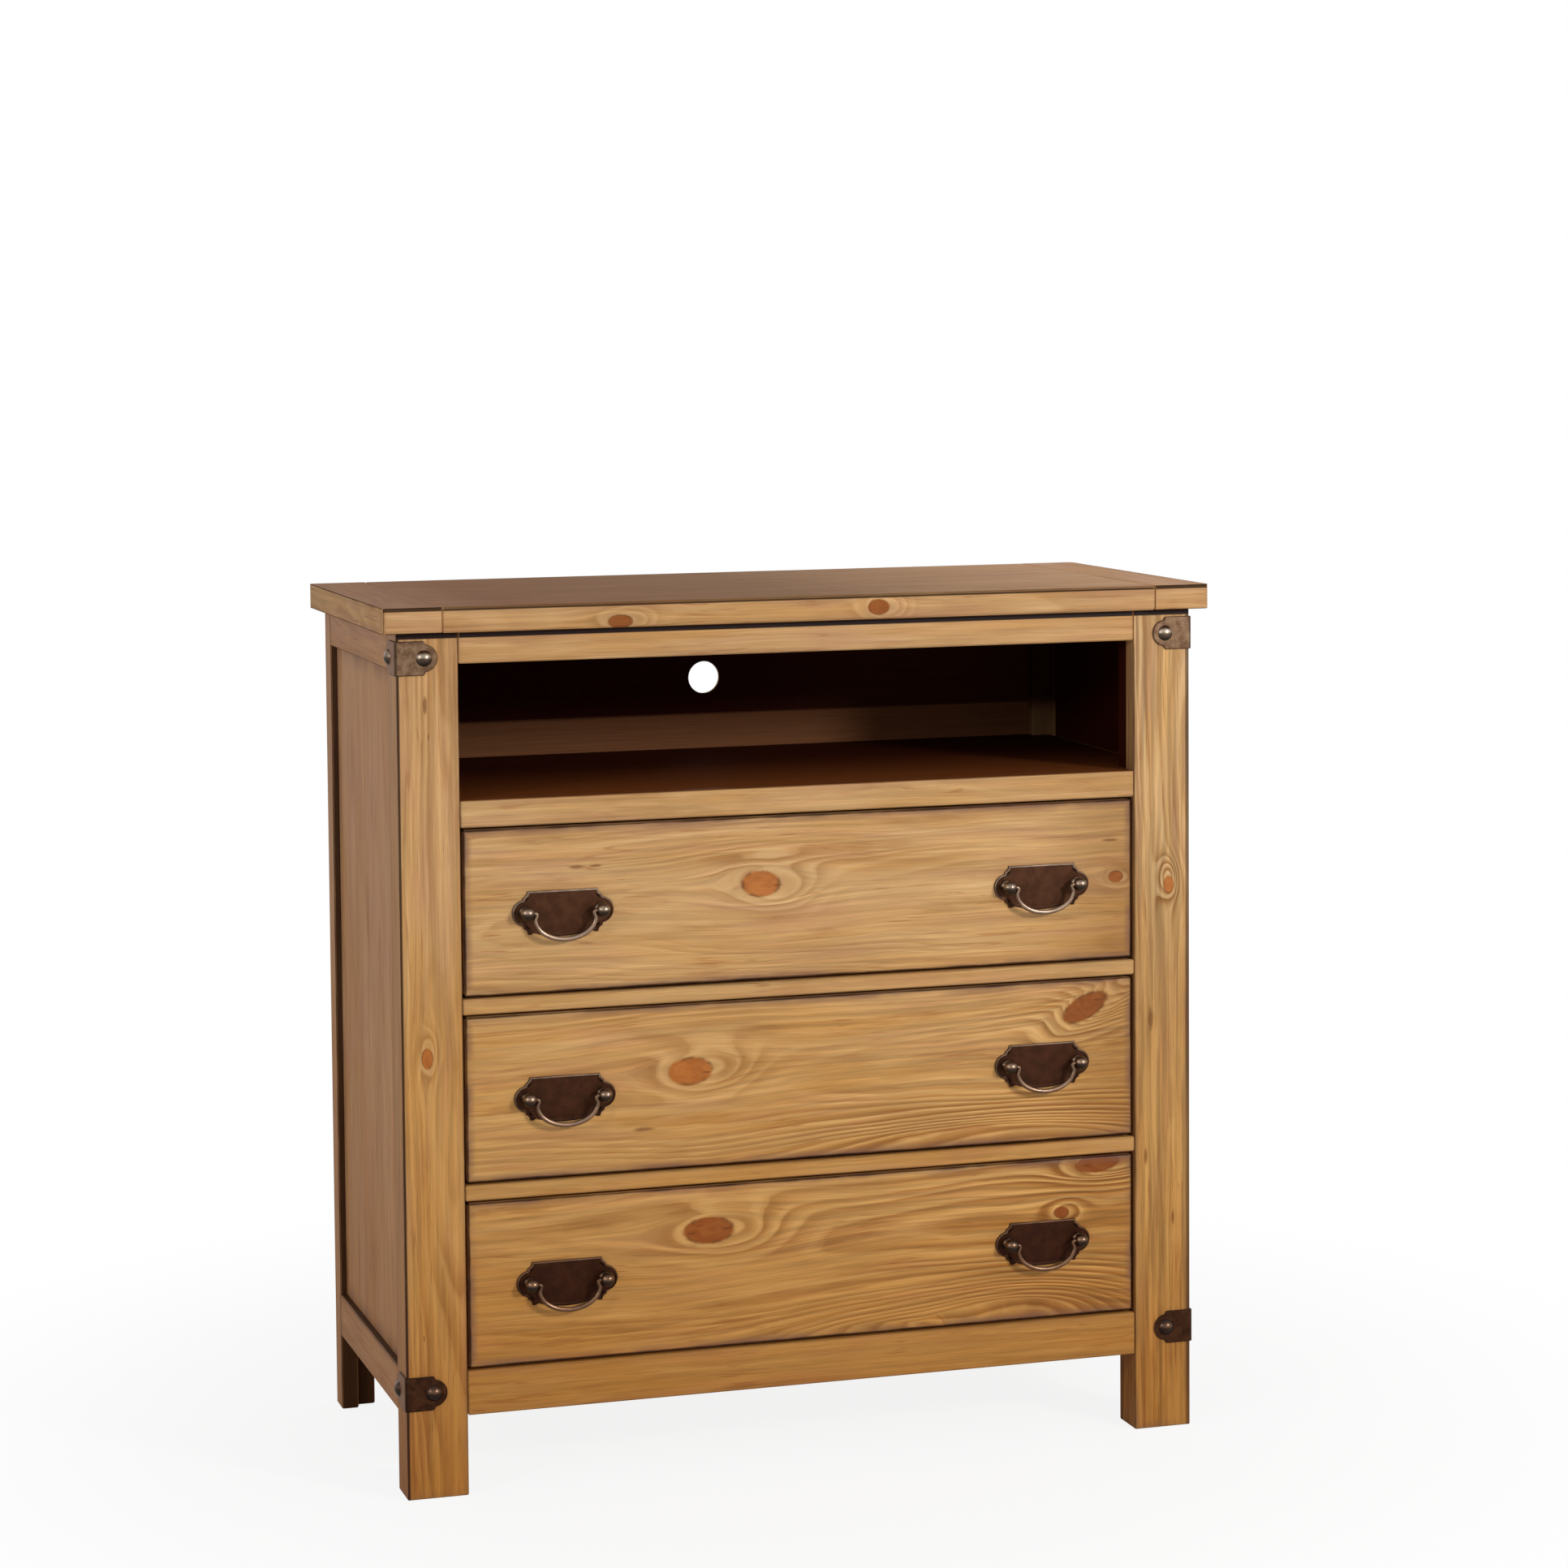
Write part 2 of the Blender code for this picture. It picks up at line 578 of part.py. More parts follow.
# Pulls: a cut plate with two turned ball posts, and a bail that turns in the balls
def plate_outline():
    """The plate's outline: lobes round the posts, joined to the straight edges by hollow notches."""
    notch_centre = (SHOULDER_X + NOTCH_RADIUS, PLATE_HALF_HEIGHT)
    notch = arc(notch_centre, NOTCH_RADIUS, 180, 250, 4)
    lobe_start = math.degrees(math.atan2(notch[-1][1], notch[-1][0] - POST_X))
    lobe = arc((POST_X, 0), LOBE_RADIUS, lobe_start - 8, 0, 5)
    upper = notch + lobe
    lower = [(x, -z) for x, z in reversed(upper[:-1])]
    hollow_x, hollow_z = POST_X - HOLLOW_INSET, HOLLOW_DEPTH - PLATE_HALF_HEIGHT
    hollow = [((SHOULDER_X + hollow_x) / 2, -PLATE_HALF_HEIGHT), (hollow_x, hollow_z)]
    bulge = [(hollow_x * part, hollow_z - BULGE_DEPTH * (1 - part**2)) for part in (0.75, 0.5, 0.25, 0)]
    right = upper + lower + hollow + bulge
    left = [(-x, z) for x, z in reversed(right[:-1])]
    return right + left


def post_profile():
    """Half section of a post, from its ball's tip to its shank's tip; 0 is the plate's front face."""
    neck_angle = math.degrees(math.asin(NECK_RADIUS / BALL_RADIUS))
    ball = arc((0, BALL_STANDOFF), BALL_RADIUS, 90, neck_angle - 90, 7)
    collar = [(NECK_RADIUS, COLLAR_THICKNESS), (COLLAR_RADIUS, COLLAR_THICKNESS * 0.7)]
    collar += [(COLLAR_RADIUS, -POST_ROOT)]
    tip = -PLATE_THICKNESS - GAP - SHANK_LENGTH
    shank = [(SHANK_RADIUS, -POST_ROOT), (SHANK_RADIUS, tip + SHANK_RADIUS), (0, tip)]
    return [(0, BALL_STANDOFF + BALL_RADIUS), *ball[1:], *collar, *shank]


def bail_path():
    """The bail's middle line round its hinge line, in X and Z: pin, corner, neck, bow and back."""
    corner = (POST_X - BAIL_BEND + BAIL_CORNER_RADIUS, -BAIL_CORNER_RADIUS)
    pin = (POST_X - BALL_RADIUS + PIN_REACH, 0)
    bend = arc(corner, BAIL_CORNER_RADIUS, 90, 180, 2)
    neck = arc((POST_X, 0), BAIL_BEND, 180 + NECK_TURN / 2, 180 + NECK_TURN, 1)
    wide_x, wide_z = neck[-1]
    bow = []
    for step in range(1, 9):
        angle = math.radians(90 * step / 8)
        bow.append((wide_x * math.cos(angle), wide_z - (BAIL_DROP + wide_z) * math.sin(angle)))
    right = [pin, *bend, *neck, *bow]
    left = [(-x, z) for x, z in reversed(right[:-1])]
    return right + left


def wire(name, points, radius):
    """A round wire along points in X and Z, with closed ends."""
    curve = bpy.data.curves.new(name, "CURVE")
    curve.dimensions = "3D"
    curve.bevel_depth = radius
    curve.bevel_resolution = 2
    curve.use_fill_caps = True
    spline = curve.splines.new("POLY")
    spline.points.add(len(points) - 1)
    for spot, (across, up) in zip(spline.points, points):
        spot.co = (across, 0, up, 1)
    return bpy.data.objects.new(name, curve)


def make_pull(label, centre, slide, front):
    x, z = centre
    middle = (x, PLATE_FRONT_Y + PLATE_THICKNESS / 2, z)
    post_xs = [side * POST_X for side in SIDES.values()]
    plate = outline_mesh("pull_plate_" + label, [plate_outline()], PLATE_THICKNESS)
    pull = add_piece("pull_plate_" + label, plate, middle, "dark_iron", slide, ALONG_Y)
    ease_edges(pull, PLATE_EASE)

    # The posts stand on the plate, whose front faces the plate's own +Z
    post = turned_mesh("post", post_profile(), POST_SIDES)
    stands = [Matrix.Translation((post_x, POST_RAISE, PLATE_THICKNESS / 2)) for post_x in post_xs]
    posts = add_cutter("posts_" + label, copies("posts_" + label, post, stands), middle, slide, ALONG_Y)
    combine(pull, "UNION", posts)
    bore = rod_mesh("bore", WIRE_RADIUS + GAP, 2 * (PIN_REACH + GAP))
    across = Matrix.Rotation(math.pi / 2, 4, "Y")
    hinge = PLATE_THICKNESS / 2 + BALL_STANDOFF
    mouths = [math.copysign(POST_X - BALL_RADIUS, post_x) for post_x in post_xs]
    turns = [Matrix.Translation((mouth, POST_RAISE, hinge)) @ across for mouth in mouths]
    bores = add_cutter("bores_" + label, copies("bores_" + label, bore, turns), middle, slide, ALONG_Y)
    combine(pull, "DIFFERENCE", bores)

    # Blind holes in the drawer front for the shanks
    drill = rod_mesh("drill", SHANK_RADIUS + GAP, 2 * (SHANK_LENGTH + GAP))
    spots = [Matrix.Translation((post_x, POST_RAISE, 0)) for post_x in post_xs]
    start = (x, FRONT_RECESS, z)
    drills = add_cutter("drills_" + label, copies("drills_" + label, drill, spots), start, slide, ALONG_Y)
    combine(front, "DIFFERENCE", drills)

    bail = wire("bail_" + label, bail_path(), WIRE_RADIUS)
    CHEST.objects.link(bail)
    place(bail, (x, HINGE_Y, z + POST_RAISE), slide)
    give_material(bail, "dark_iron")


# Corner brackets: a flat blank folded round the leg's corner, with a domed stud in each ear
def bracket_outline():
    """The unfolded outline: the fold lies at X = 0, and an ear ends each wing."""
    half, ear_x = BRACKET_HEIGHT / 2, BRACKET_LENGTH - EAR_RADIUS
    reach = BRACKET_SHOULDER + BRACKET_STEP - ear_x
    start = math.degrees(math.acos(reach / EAR_RADIUS))
    upper = [(BRACKET_SHOULDER, half), *arc((ear_x, 0), EAR_RADIUS, start, 0, 7)]
    right = upper + [(x, -z) for x, z in reversed(upper[:-1])]
    left = [(-x, z) for x, z in reversed(right)]
    return right + left


def folded_surface():
    """The bracket as a sheet with no thickness: one wing lies in XZ at +X, the other runs back along +Y."""
    mesh = outline_mesh("bracket", [bracket_outline()], 0)
    shape = bmesh.new()
    shape.from_mesh(mesh)
    geometry = shape.verts[:] + shape.edges[:] + shape.faces[:]
    bmesh.ops.bisect_plane(shape, geom=geometry, plane_co=(0, 0, 0), plane_no=(1, 0, 0), dist=1e-7)
    bmesh.ops.transform(shape, matrix=Matrix.Rotation(math.pi / 2, 4, "X"), verts=shape.verts)
    back_wing = [spot for spot in shape.verts if spot.co.x < -1e-6]
    bmesh.ops.rotate(shape, verts=back_wing, cent=(0, 0, 0), matrix=Matrix.Rotation(-math.pi / 2, 3, "Z"))
    bmesh.ops.recalc_face_normals(shape, faces=shape.faces)
    inward = Vector((1, 1, 0))
    if sum(face.normal.dot(inward) * face.calc_area() for face in shape.faces) > 0:
        bmesh.ops.reverse_faces(shape, faces=shape.faces)
    shape.to_mesh(mesh)
    shape.free()
    return mesh


def stud_profile():
    """A shallow dome, from its top to the middle of its flat base."""
    height = STUD_HEIGHT + STUD_ROOT
    sphere = (STUD_RADIUS**2 + height**2) / (2 * height)
    edge = math.degrees(math.asin(STUD_RADIUS / sphere))
    dome = arc((0, height - sphere), sphere, 90, 90 - edge, 4)
    return [(0, height), *dome[1:], (0, 0)]


def make_brackets():
    surface = folded_surface()
    stud = turned_mesh("stud", stud_profile(), STUD_SIDES)
    ear, base = BRACKET_LENGTH - EAR_RADIUS, STUD_ROOT - BRACKET_THICKNESS
    on_front = Matrix.Translation((ear, base, 0)) @ Matrix.Rotation(math.pi / 2, 4, "X")
    on_flank = Matrix.Translation((base, ear, 0)) @ Matrix.Rotation(-math.pi / 2, 4, "Y")
    levels = {
        "top": LEG_HEIGHT - BRACKET_TOP_DROP - BRACKET_HEIGHT / 2,
        "bottom": FOOT_HEIGHT + BRACKET_BOTTOM_RAISE + BRACKET_HEIGHT / 2,
    }
    for level, height in levels.items():
        for side_name, side in SIDES.items():
            label = f"{level}_{side_name}"
            corner = (side * (HALF_WIDTH + GAP), -GAP, height)
            turn = (0, 0, 0 if side < 0 else math.pi / 2)
            name = "corner_bracket_" + label
            bracket = add_piece(name, surface.copy(), corner, "dark_iron", rotation=turn)
            sheet = bracket.modifiers.new("sheet_thickness", "SOLIDIFY")
            sheet.thickness = BRACKET_THICKNESS
            sheet.offset = 1
            sheet.use_even_offset = True
            studs = copies("studs_" + label, stud, [on_front, on_flank])
            combine(bracket, "UNION", add_cutter("studs_" + label, studs, corner, rotation=turn))


def make_chest():
    legs = make_legs()
    make_front_frame()
    make_sides(legs)
    make_back(legs)
    make_top()
    make_shelf()
    # Drawer 1 is the highest
    for number in range(1, DRAWER_COUNT + 1):
        floor_z = BOTTOM_RAIL_TOP + (DRAWER_COUNT - number) * DRAWER_PITCH
        make_runners(number, floor_z)
        make_drawer(number, floor_z)
    make_brackets()


make_chest()
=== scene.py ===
"""Looks of the media chest: stained knotty pine, dark iron pulls and corner brackets."""

import math

import bmesh
import bpy
from mathutils import Matrix, Vector


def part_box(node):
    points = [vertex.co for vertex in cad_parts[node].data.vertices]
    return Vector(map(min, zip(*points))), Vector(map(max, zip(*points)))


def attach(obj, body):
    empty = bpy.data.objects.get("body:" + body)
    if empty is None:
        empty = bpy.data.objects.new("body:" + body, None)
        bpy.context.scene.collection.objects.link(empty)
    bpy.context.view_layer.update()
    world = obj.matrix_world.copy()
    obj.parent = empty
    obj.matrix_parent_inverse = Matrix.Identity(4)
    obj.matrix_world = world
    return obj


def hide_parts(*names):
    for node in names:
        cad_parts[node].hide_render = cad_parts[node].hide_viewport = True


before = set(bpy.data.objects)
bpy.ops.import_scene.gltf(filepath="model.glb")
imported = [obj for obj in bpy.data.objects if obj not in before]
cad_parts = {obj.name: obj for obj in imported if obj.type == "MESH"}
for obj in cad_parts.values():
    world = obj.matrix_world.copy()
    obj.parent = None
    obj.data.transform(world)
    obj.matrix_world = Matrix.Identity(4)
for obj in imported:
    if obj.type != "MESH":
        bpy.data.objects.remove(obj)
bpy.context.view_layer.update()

# Camera, as fitted to the chest's edges in the photograph: metres and degrees
CAMERA_PLACE = (-1.3099, -4.3582, 1.2963)
CAMERA_YAW = 17.18
CAMERA_PITCH = 3.72
CAMERA_ROLL = -0.464
CAMERA_LENS = 90.07
SENSOR = 36.0
SHIFT_Y = -0.1377

# Lamps: place and size in metres, power in watts, and colour; and how strongly the white room lights
LAMPS = {
    "key_light": ((2.10, -3.40, 1.90), 0.65, 84, (1.0, 0.98, 0.95)),
    "left_light": ((-2.80, -1.90, 1.60), 0.45, 16, (1.0, 1.0, 1.0)),
}
LAMP_TARGET = (0, 0, 0.6)
ROOM_LIGHT = 0.44

# The pale floor turns white away from the chest: distance in metres, and the share of white there
FLOOR_SIZE = 60
FLOOR_Z = -0.0004
FLOOR_COLOUR = (0.86, 0.86, 0.86, 1)
WHITE = (1, 1, 1, 1)
WHITE_NEAR = (0.45, 0.87)
WHITE_FAR = (1.3, 1.0)

# Colours as they look, from 0 to 255
PINE_EARLY = (199, 157, 107)
PINE_LATE = (153, 104, 55)
PINE_GOLD = (189, 139, 76)
PINE_PINK = (190, 139, 104)
PINE_PALE = (216, 178, 130)
KNOT_HEART = (184, 110, 52)
KNOT_DARK = (143, 78, 33)
KNOT_RIM = (108, 62, 28)
# Near-black: stain on worn edges, painted shade on the frame's step faces, and the painted shadow under the
# top
STAIN_AND_SHADE = (28, 8, 3)
# The soft band beside the edges: partly glaze, partly painted shade
GLAZE_AND_SHADE = (118, 82, 64)
# Painted shade and painted light inside the compartment
INSIDE_PAINTED_SHADE = (50, 12, 6)
INSIDE_BACK_PAINTED_LIGHT = (126, 82, 54)
INSIDE_POST_PAINTED_LIGHT = (146, 108, 72)
INSIDE_SHELF_PAINTED_LIGHT = (110, 60, 27)
IRON_RUBBED_AND_LIT = (186, 168, 152)
IRON_PAINTED_SHADE = (18, 10, 6)

# The pine is darker towards the foot: height in metres, and how much of each colour is left
DARKER_TOWARDS_FOOT = (
    (0.02, (0.72, 0.53, 0.24)),
    (0.23, (0.86, 0.73, 0.46)),
    (0.44, (0.97, 0.91, 0.72)),
    (0.64, (1.00, 1.00, 0.96)),
    (0.90, (1.00, 1.00, 1.00)),
)
DARKER_TOWARDS_FOOT_RIGHT_LEG = (
    (0.08, (0.66, 0.48, 0.22)),
    (0.27, (0.82, 0.70, 0.44)),
    (0.48, (0.78, 0.68, 0.49)),
    (0.66, (0.95, 0.92, 0.84)),
    (0.84, (1.00, 1.00, 1.00)),
)
# Painted light on the iron: darker low down and brighter high up
IRON_PAINTED_LIGHT_BY_HEIGHT = (
    (0.10, (0.48, 0.31, 0.20)),
    (0.30, (0.57, 0.40, 0.28)),
    (0.65, (0.95, 0.88, 0.80)),
    (0.95, (1.90, 2.05, 2.05)),
)

# Shapes of the pulls and brackets, in metres, as in the part
POST_X = 0.04275
PLATE_TOP = 0.024
SHOULDER_X = 0.03975
NOTCH_RADIUS = 0.0068
LOBE_RADIUS = 0.0147
HOLLOW_X = 0.03275
HOLLOW_Z = -0.0222
BULGE = 0.005
POST_RAISE = 0.001
BALL_RADIUS = 0.0078
BALL_STANDOFF = 0.0112
NECK_RADIUS = 0.0042
BORE_RADIUS = 0.0028
PIN_END = 0.0392
BAIL_BEND = 0.0107
BAIL_CORNER = 0.0026
BAIL_DROP = 0.030
EAR_X = 0.0305
EAR_RADIUS = 0.015
BRACKET_HALF = 0.01875
BRACKET_SHOULDER = 0.031
FOLD_RADIUS = 0.0012
STUD_RADIUS = 0.0089
STUD_HEIGHT = 0.0052
# The bracket's outer face, the ear's shift by the fold, the plate's back behind the posts' feet, and the
# gap between a bracket and its leg
SHEET = 0.0018
FOLD_SHIFT = 0.0003
PLATE_BACK = 0.0022
GAP = 0.0003


def linear(colour):
    """A colour as it looks, turned into the values that shaders take."""
    parts = [part / 255 for part in colour]
    return (*[part / 12.92 if part <= 0.04045 else ((part + 0.055) / 1.055) ** 2.4 for part in parts], 1)


class Net:
    """Adds nodes to a tree and links them. An input is a number, a tuple or another node's output."""

    def __init__(self, tree):
        self.tree = tree

    def feed(self, socket, value):
        if isinstance(value, bpy.types.NodeSocket):
            self.tree.links.new(value, socket)
        else:
            socket.default_value = value

    def node(self, kind, inputs=(), **settings):
        made = self.tree.nodes.new("ShaderNode" + kind)
        for name, value in settings.items():
            setattr(made, name, value)
        for name, value in dict(inputs).items():
            self.feed(made.inputs[name], value)
        return made

    def math(self, operation, *values, clamp=False):
        made = self.node("Math", operation=operation, use_clamp=clamp)
        for socket, value in zip(made.inputs, values):
            self.feed(socket, value)
        return made.outputs[0]

    def add(self, *values):
        total = values[0]
        for value in values[1:]:
            total = self.math("ADD", total, value)
        return total

    def times(self, *values):
        total = values[0]
        for value in values[1:]:
            total = self.math("MULTIPLY", total, value)
        return total

    def less(self, first, second):
        return self.math("SUBTRACT", first, second)

    def step(self, value, low, high, start=0.0, end=1.0):
        """Eases from start to end while the value goes from low to high."""
        inputs = {"Value": value, "From Min": low, "From Max": high, "To Min": start, "To Max": end}
        return self.node("MapRange", inputs, interpolation_type="SMOOTHSTEP").outputs[0]

    def band(self, value, low, high, soft):
        """1 between low and high, easing to 0 over the soft width inside each end."""
        return self.times(self.step(value, low, low + soft), self.step(value, high, high - soft))

    def join(self, x, y, z):
        return self.node("CombineXYZ", {"X": x, "Y": y, "Z": z}).outputs[0]

    def split(self, vector):
        return list(self.node("SeparateXYZ", {"Vector": vector}).outputs)

    def vector(self, operation, first, second):
        made = self.node("VectorMath", operation=operation)
        self.feed(made.inputs[0], first)
        self.feed(made.inputs[1], second)
        return made.outputs[0]

    def noise(self, vector, stretch, detail=2.0, roughness=0.5):
        """Noise with so many cells to the metre along each axis: its value and its colour."""
        scaled = self.vector("MULTIPLY", vector, stretch)
        inputs = {"Vector": scaled, "Scale": 1.0, "Detail": detail, "Roughness": roughness}
        made = self.node("TexNoise", inputs)
        return made.outputs[0], made.outputs[1]

    def mix(self, factor, first, second, blend="MIX"):
        made = self.node("Mix", data_type="RGBA", blend_type=blend)
        self.feed(made.inputs[0], factor)
        self.feed(made.inputs[6], first)
        self.feed(made.inputs[7], second)
        return made.outputs[2]

    def shade(self, colour, amount):
        return self.mix(1.0, colour, self.join(amount, amount, amount), "MULTIPLY")

    def by_height(self, height, stops, scale=1.0):
        """A colour that changes with height: each stop is a height and its colour. The scale keeps
        the ramp's own colours below 1, and is taken back after it."""
        ramp = self.node("ValToRGB", {"Fac": height})
        places = ramp.color_ramp.elements
        while len(places) < len(stops):
            places.new(0.5)
        for spot, (level, colour) in zip(places, stops):
            spot.position = level
            spot.color = (*[part * scale for part in colour], 1)
        if scale == 1.0:
            return ramp.outputs[0]
        return self.shade(ramp.outputs[0], 1 / scale)


def new_group(name, inputs, outputs):
    """An empty node group: its net, its inputs by name, and its output node."""
    tree = bpy.data.node_groups.new(name, "ShaderNodeTree")
    for label, kind in inputs:
        tree.interface.new_socket(label, in_out="INPUT", socket_type="NodeSocket" + kind)
    for label, kind in outputs:
        tree.interface.new_socket(label, in_out="OUTPUT", socket_type="NodeSocket" + kind)
    start = tree.nodes.new("NodeGroupInput")
    end = tree.nodes.new("NodeGroupOutput")
    return Net(tree), {socket.name: socket for socket in start.outputs if socket.name}, end


# Pine: a distance in knot radii that is beyond any knot, a spot's width by its length, and how softly
# a dark line ends, in metres
NO_KNOT = 50.0
SPOT_SHAPE = 0.22
LINE_SOFTNESS = 0.0012


def knot_group():
    """How far a point is from a knot, in knot radii, how many rings the knot lifts there, and how far it
    pushes the grain aside: the lines flow round it as a stream does round a stone."""
    inputs = [("Grain", "Vector"), ("Along", "Float"), ("Across", "Float"), ("Length", "Float")]
    inputs += [("Width", "Float"), ("Turn", "Float"), ("Lift", "Float"), ("Core", "Float")]
    outputs = [("Distance", "Float"), ("Lift", "Float"), ("Shift", "Float"), ("Near", "Float")]
    net, given, end = new_group("pine_knot", inputs, outputs)
    along, across, _ = net.split(given["Grain"])
    along = net.less(along, given["Along"])
    across = net.less(across, given["Across"])
    cosine, sine = net.math("COSINE", given["Turn"]), net.math("SINE", given["Turn"])
    first = net.add(net.times(along, cosine), net.times(across, sine))
    second = net.less(net.times(across, cosine), net.times(along, sine))
    first = net.math("DIVIDE", first, given["Length"])
    second = net.math("DIVIDE", second, given["Width"])
    near = net.math("SQRT", net.add(net.times(first, first), net.times(second, second)))
    beyond = net.less(first, 0.9)
    wide = net.add(net.times(beyond, beyond, 0.20), net.times(second, second, 0.24))
    hill = net.math("EXPONENT", net.times(wide, -1.0))
    net.feed(end.inputs["Lift"], net.times(hill, given["Lift"]))
    stream = net.add(net.times(first, first, 0.34), net.times(second, second))
    stream = net.math("DIVIDE", 1.7, net.math("MAXIMUM", stream, 1.7))
    shift = net.times(second, given["Width"], stream, cosine, -0.92)
    net.feed(end.inputs["Shift"], net.times(shift, net.step(near, 9.0, 4.0)))
    net.feed(end.inputs["Distance"], net.add(near, net.times(net.less(1.0, given["Core"]), NO_KNOT)))
    net.feed(end.inputs["Near"], near)
    return net.tree


def pine_group():
    """The figure of stained pine: rings, fibres, dashes, knots, and dark worn edges with a soft darker band
    beside them, partly finish gathered there and partly painted shade.
    """
    inputs = [("Grain", "Vector"), ("Seed", "Float"), ("Pith", "Vector"), ("Spacing", "Float")]
    inputs += [("Lift", "Float"), ("Shift", "Float"), ("Knot", "Float"), ("Near", "Float"), ("Spot", "Float")]
    inputs += [("Edge", "Float"), ("Burnish", "Float"), ("Soft", "Float"), ("Tone", "Color")]
    inputs += [("Contrast", "Float"), ("Deep", "Float")]
    outputs = [("Color", "Color"), ("Roughness", "Float"), ("Height", "Float")]
    net, given, end = new_group("pine_figure", inputs, outputs)
    seed = net.join(given["Seed"], given["Seed"], given["Seed"])
    still = net.vector("ADD", given["Grain"], seed)
    flow = net.vector("ADD", given["Grain"], net.join(0.0, given["Shift"], 0.0))

    # The rings lie round a pith line that wanders and leans
    _, wander = net.noise(still, (1.5, 7.0, 7.0), 2.0)
    _, waver = net.noise(still, (9.0, 30.0, 30.0), 2.0)
    wander = net.vector("MULTIPLY", net.vector("SUBTRACT", wander, (0.5, 0.5, 0.5)), (0, 0.034, 0.034))
    waver = net.vector("MULTIPLY", net.vector("SUBTRACT", waver, (0.5, 0.5, 0.5)), (0, 0.0045, 0.0045))
    bent = net.vector("ADD", net.vector("ADD", flow, wander), waver)
    place = net.vector("ADD", net.vector("ADD", flow, waver), seed)
    along, across, deep = net.split(bent)
    lean, pith_across, pith_deep = net.split(given["Pith"])
    across = net.less(across, pith_across)
    deep = net.add(net.less(deep, pith_deep), net.times(along, lean))
    radius = net.math("SQRT", net.add(net.times(across, across), net.times(deep, deep)))
    rings = net.math("DIVIDE", radius, given["Spacing"])
    uneven, _ = net.noise(net.join(rings, given["Seed"], 0.0), (0.45, 1.0, 1.0), 1.0)
    rings = net.add(rings, net.times(uneven, 2.4), given["Lift"])
    phase = net.math("FRACT", rings)
    late = net.times(net.step(phase, 0.30, 0.88), net.step(phase, 1.0, 0.90))

    # Rings show in places and round the knots, and fade out elsewhere
    patches, _ = net.noise(place, (1.7, 15.0, 15.0), 2.0)
    by_knot = net.step(given["Near"], 4.5, 1.5)
    strength = net.add(net.step(patches, 0.40, 0.66, 0.10, 0.55), net.times(by_knot, 0.50))
    strength = net.times(strength, given["Contrast"])
    late = net.times(late, strength)
    light = net.times(net.band(phase, 0.0, 0.34, 0.12), strength, 0.55)

    # Broad tones, streaks, fine fibres and short dark dashes
    broad, _ = net.noise(place, (3.0, 22.0, 22.0), 3.0, 0.55)
    colour = net.mix(net.step(broad, 0.42, 0.68, 0.0, 0.60), linear(PINE_EARLY), linear(PINE_GOLD))
    pink, _ = net.noise(net.vector("ADD", place, (3.7, 1.1, 5.3)), (7.0, 48.0, 48.0), 2.0)
    colour = net.mix(net.step(pink, 0.48, 0.70, 0.0, 0.45), colour, linear(PINE_PINK))
    pale, _ = net.noise(place, (4.2, 80.0, 80.0), 2.0)
    colour = net.mix(net.step(pale, 0.52, 0.76, 0.0, 0.42), colour, linear(PINE_PALE))
    murk, _ = net.noise(net.vector("ADD", place, (2.2, 9.4, 7.1)), (7.0, 42.0, 42.0), 4.0, 0.6)
    colour = net.mix(net.step(murk, 0.50, 0.74, 0.0, 0.42), colour, linear(PINE_LATE))
    colour = net.mix(net.times(late, 0.80), colour, linear(PINE_LATE))
    colour = net.mix(light, colour, linear(PINE_PALE))
    streak, _ = net.noise(place, (5.0, 210.0, 210.0), 2.0)
    fibre, _ = net.noise(place, (12.0, 600.0, 600.0), 3.0, 0.62)
    darkest = net.math("MULTIPLY_ADD", given["Contrast"], -0.16, 1.0)
    lightest = net.math("MULTIPLY_ADD", given["Contrast"], 0.10, 1.0)
    colour = net.shade(colour, net.step(streak, 0.30, 0.70, darkest, lightest))
    colour = net.shade(colour, net.step(fibre, 0.30, 0.70, 0.90, 1.08))
    line = net.math("ABSOLUTE", net.less(net.noise(place, (2.6, 95.0, 95.0), 1.0)[0], 0.5))
    broken, _ = net.noise(place, (11.0, 30.0, 30.0), 2.0)
    lines = net.times(net.step(line, 0.020, 0.004), net.step(broken, 0.46, 0.62))
    colour = net.mix(net.times(lines, 0.34), colour, linear(KNOT_DARK))
    dash, _ = net.noise(net.vector("ADD", place, (8.1, 2.9, 4.3)), (24.0, 400.0, 400.0), 1.0)
    crowd, _ = net.noise(place, (6.0, 20.0, 20.0), 1.0)
    dashes = net.times(net.step(dash, 0.64, 0.76), net.step(crowd, 0.46, 0.62))
    colour = net.mix(net.times(dashes, 0.50), colour, linear(KNOT_DARK))

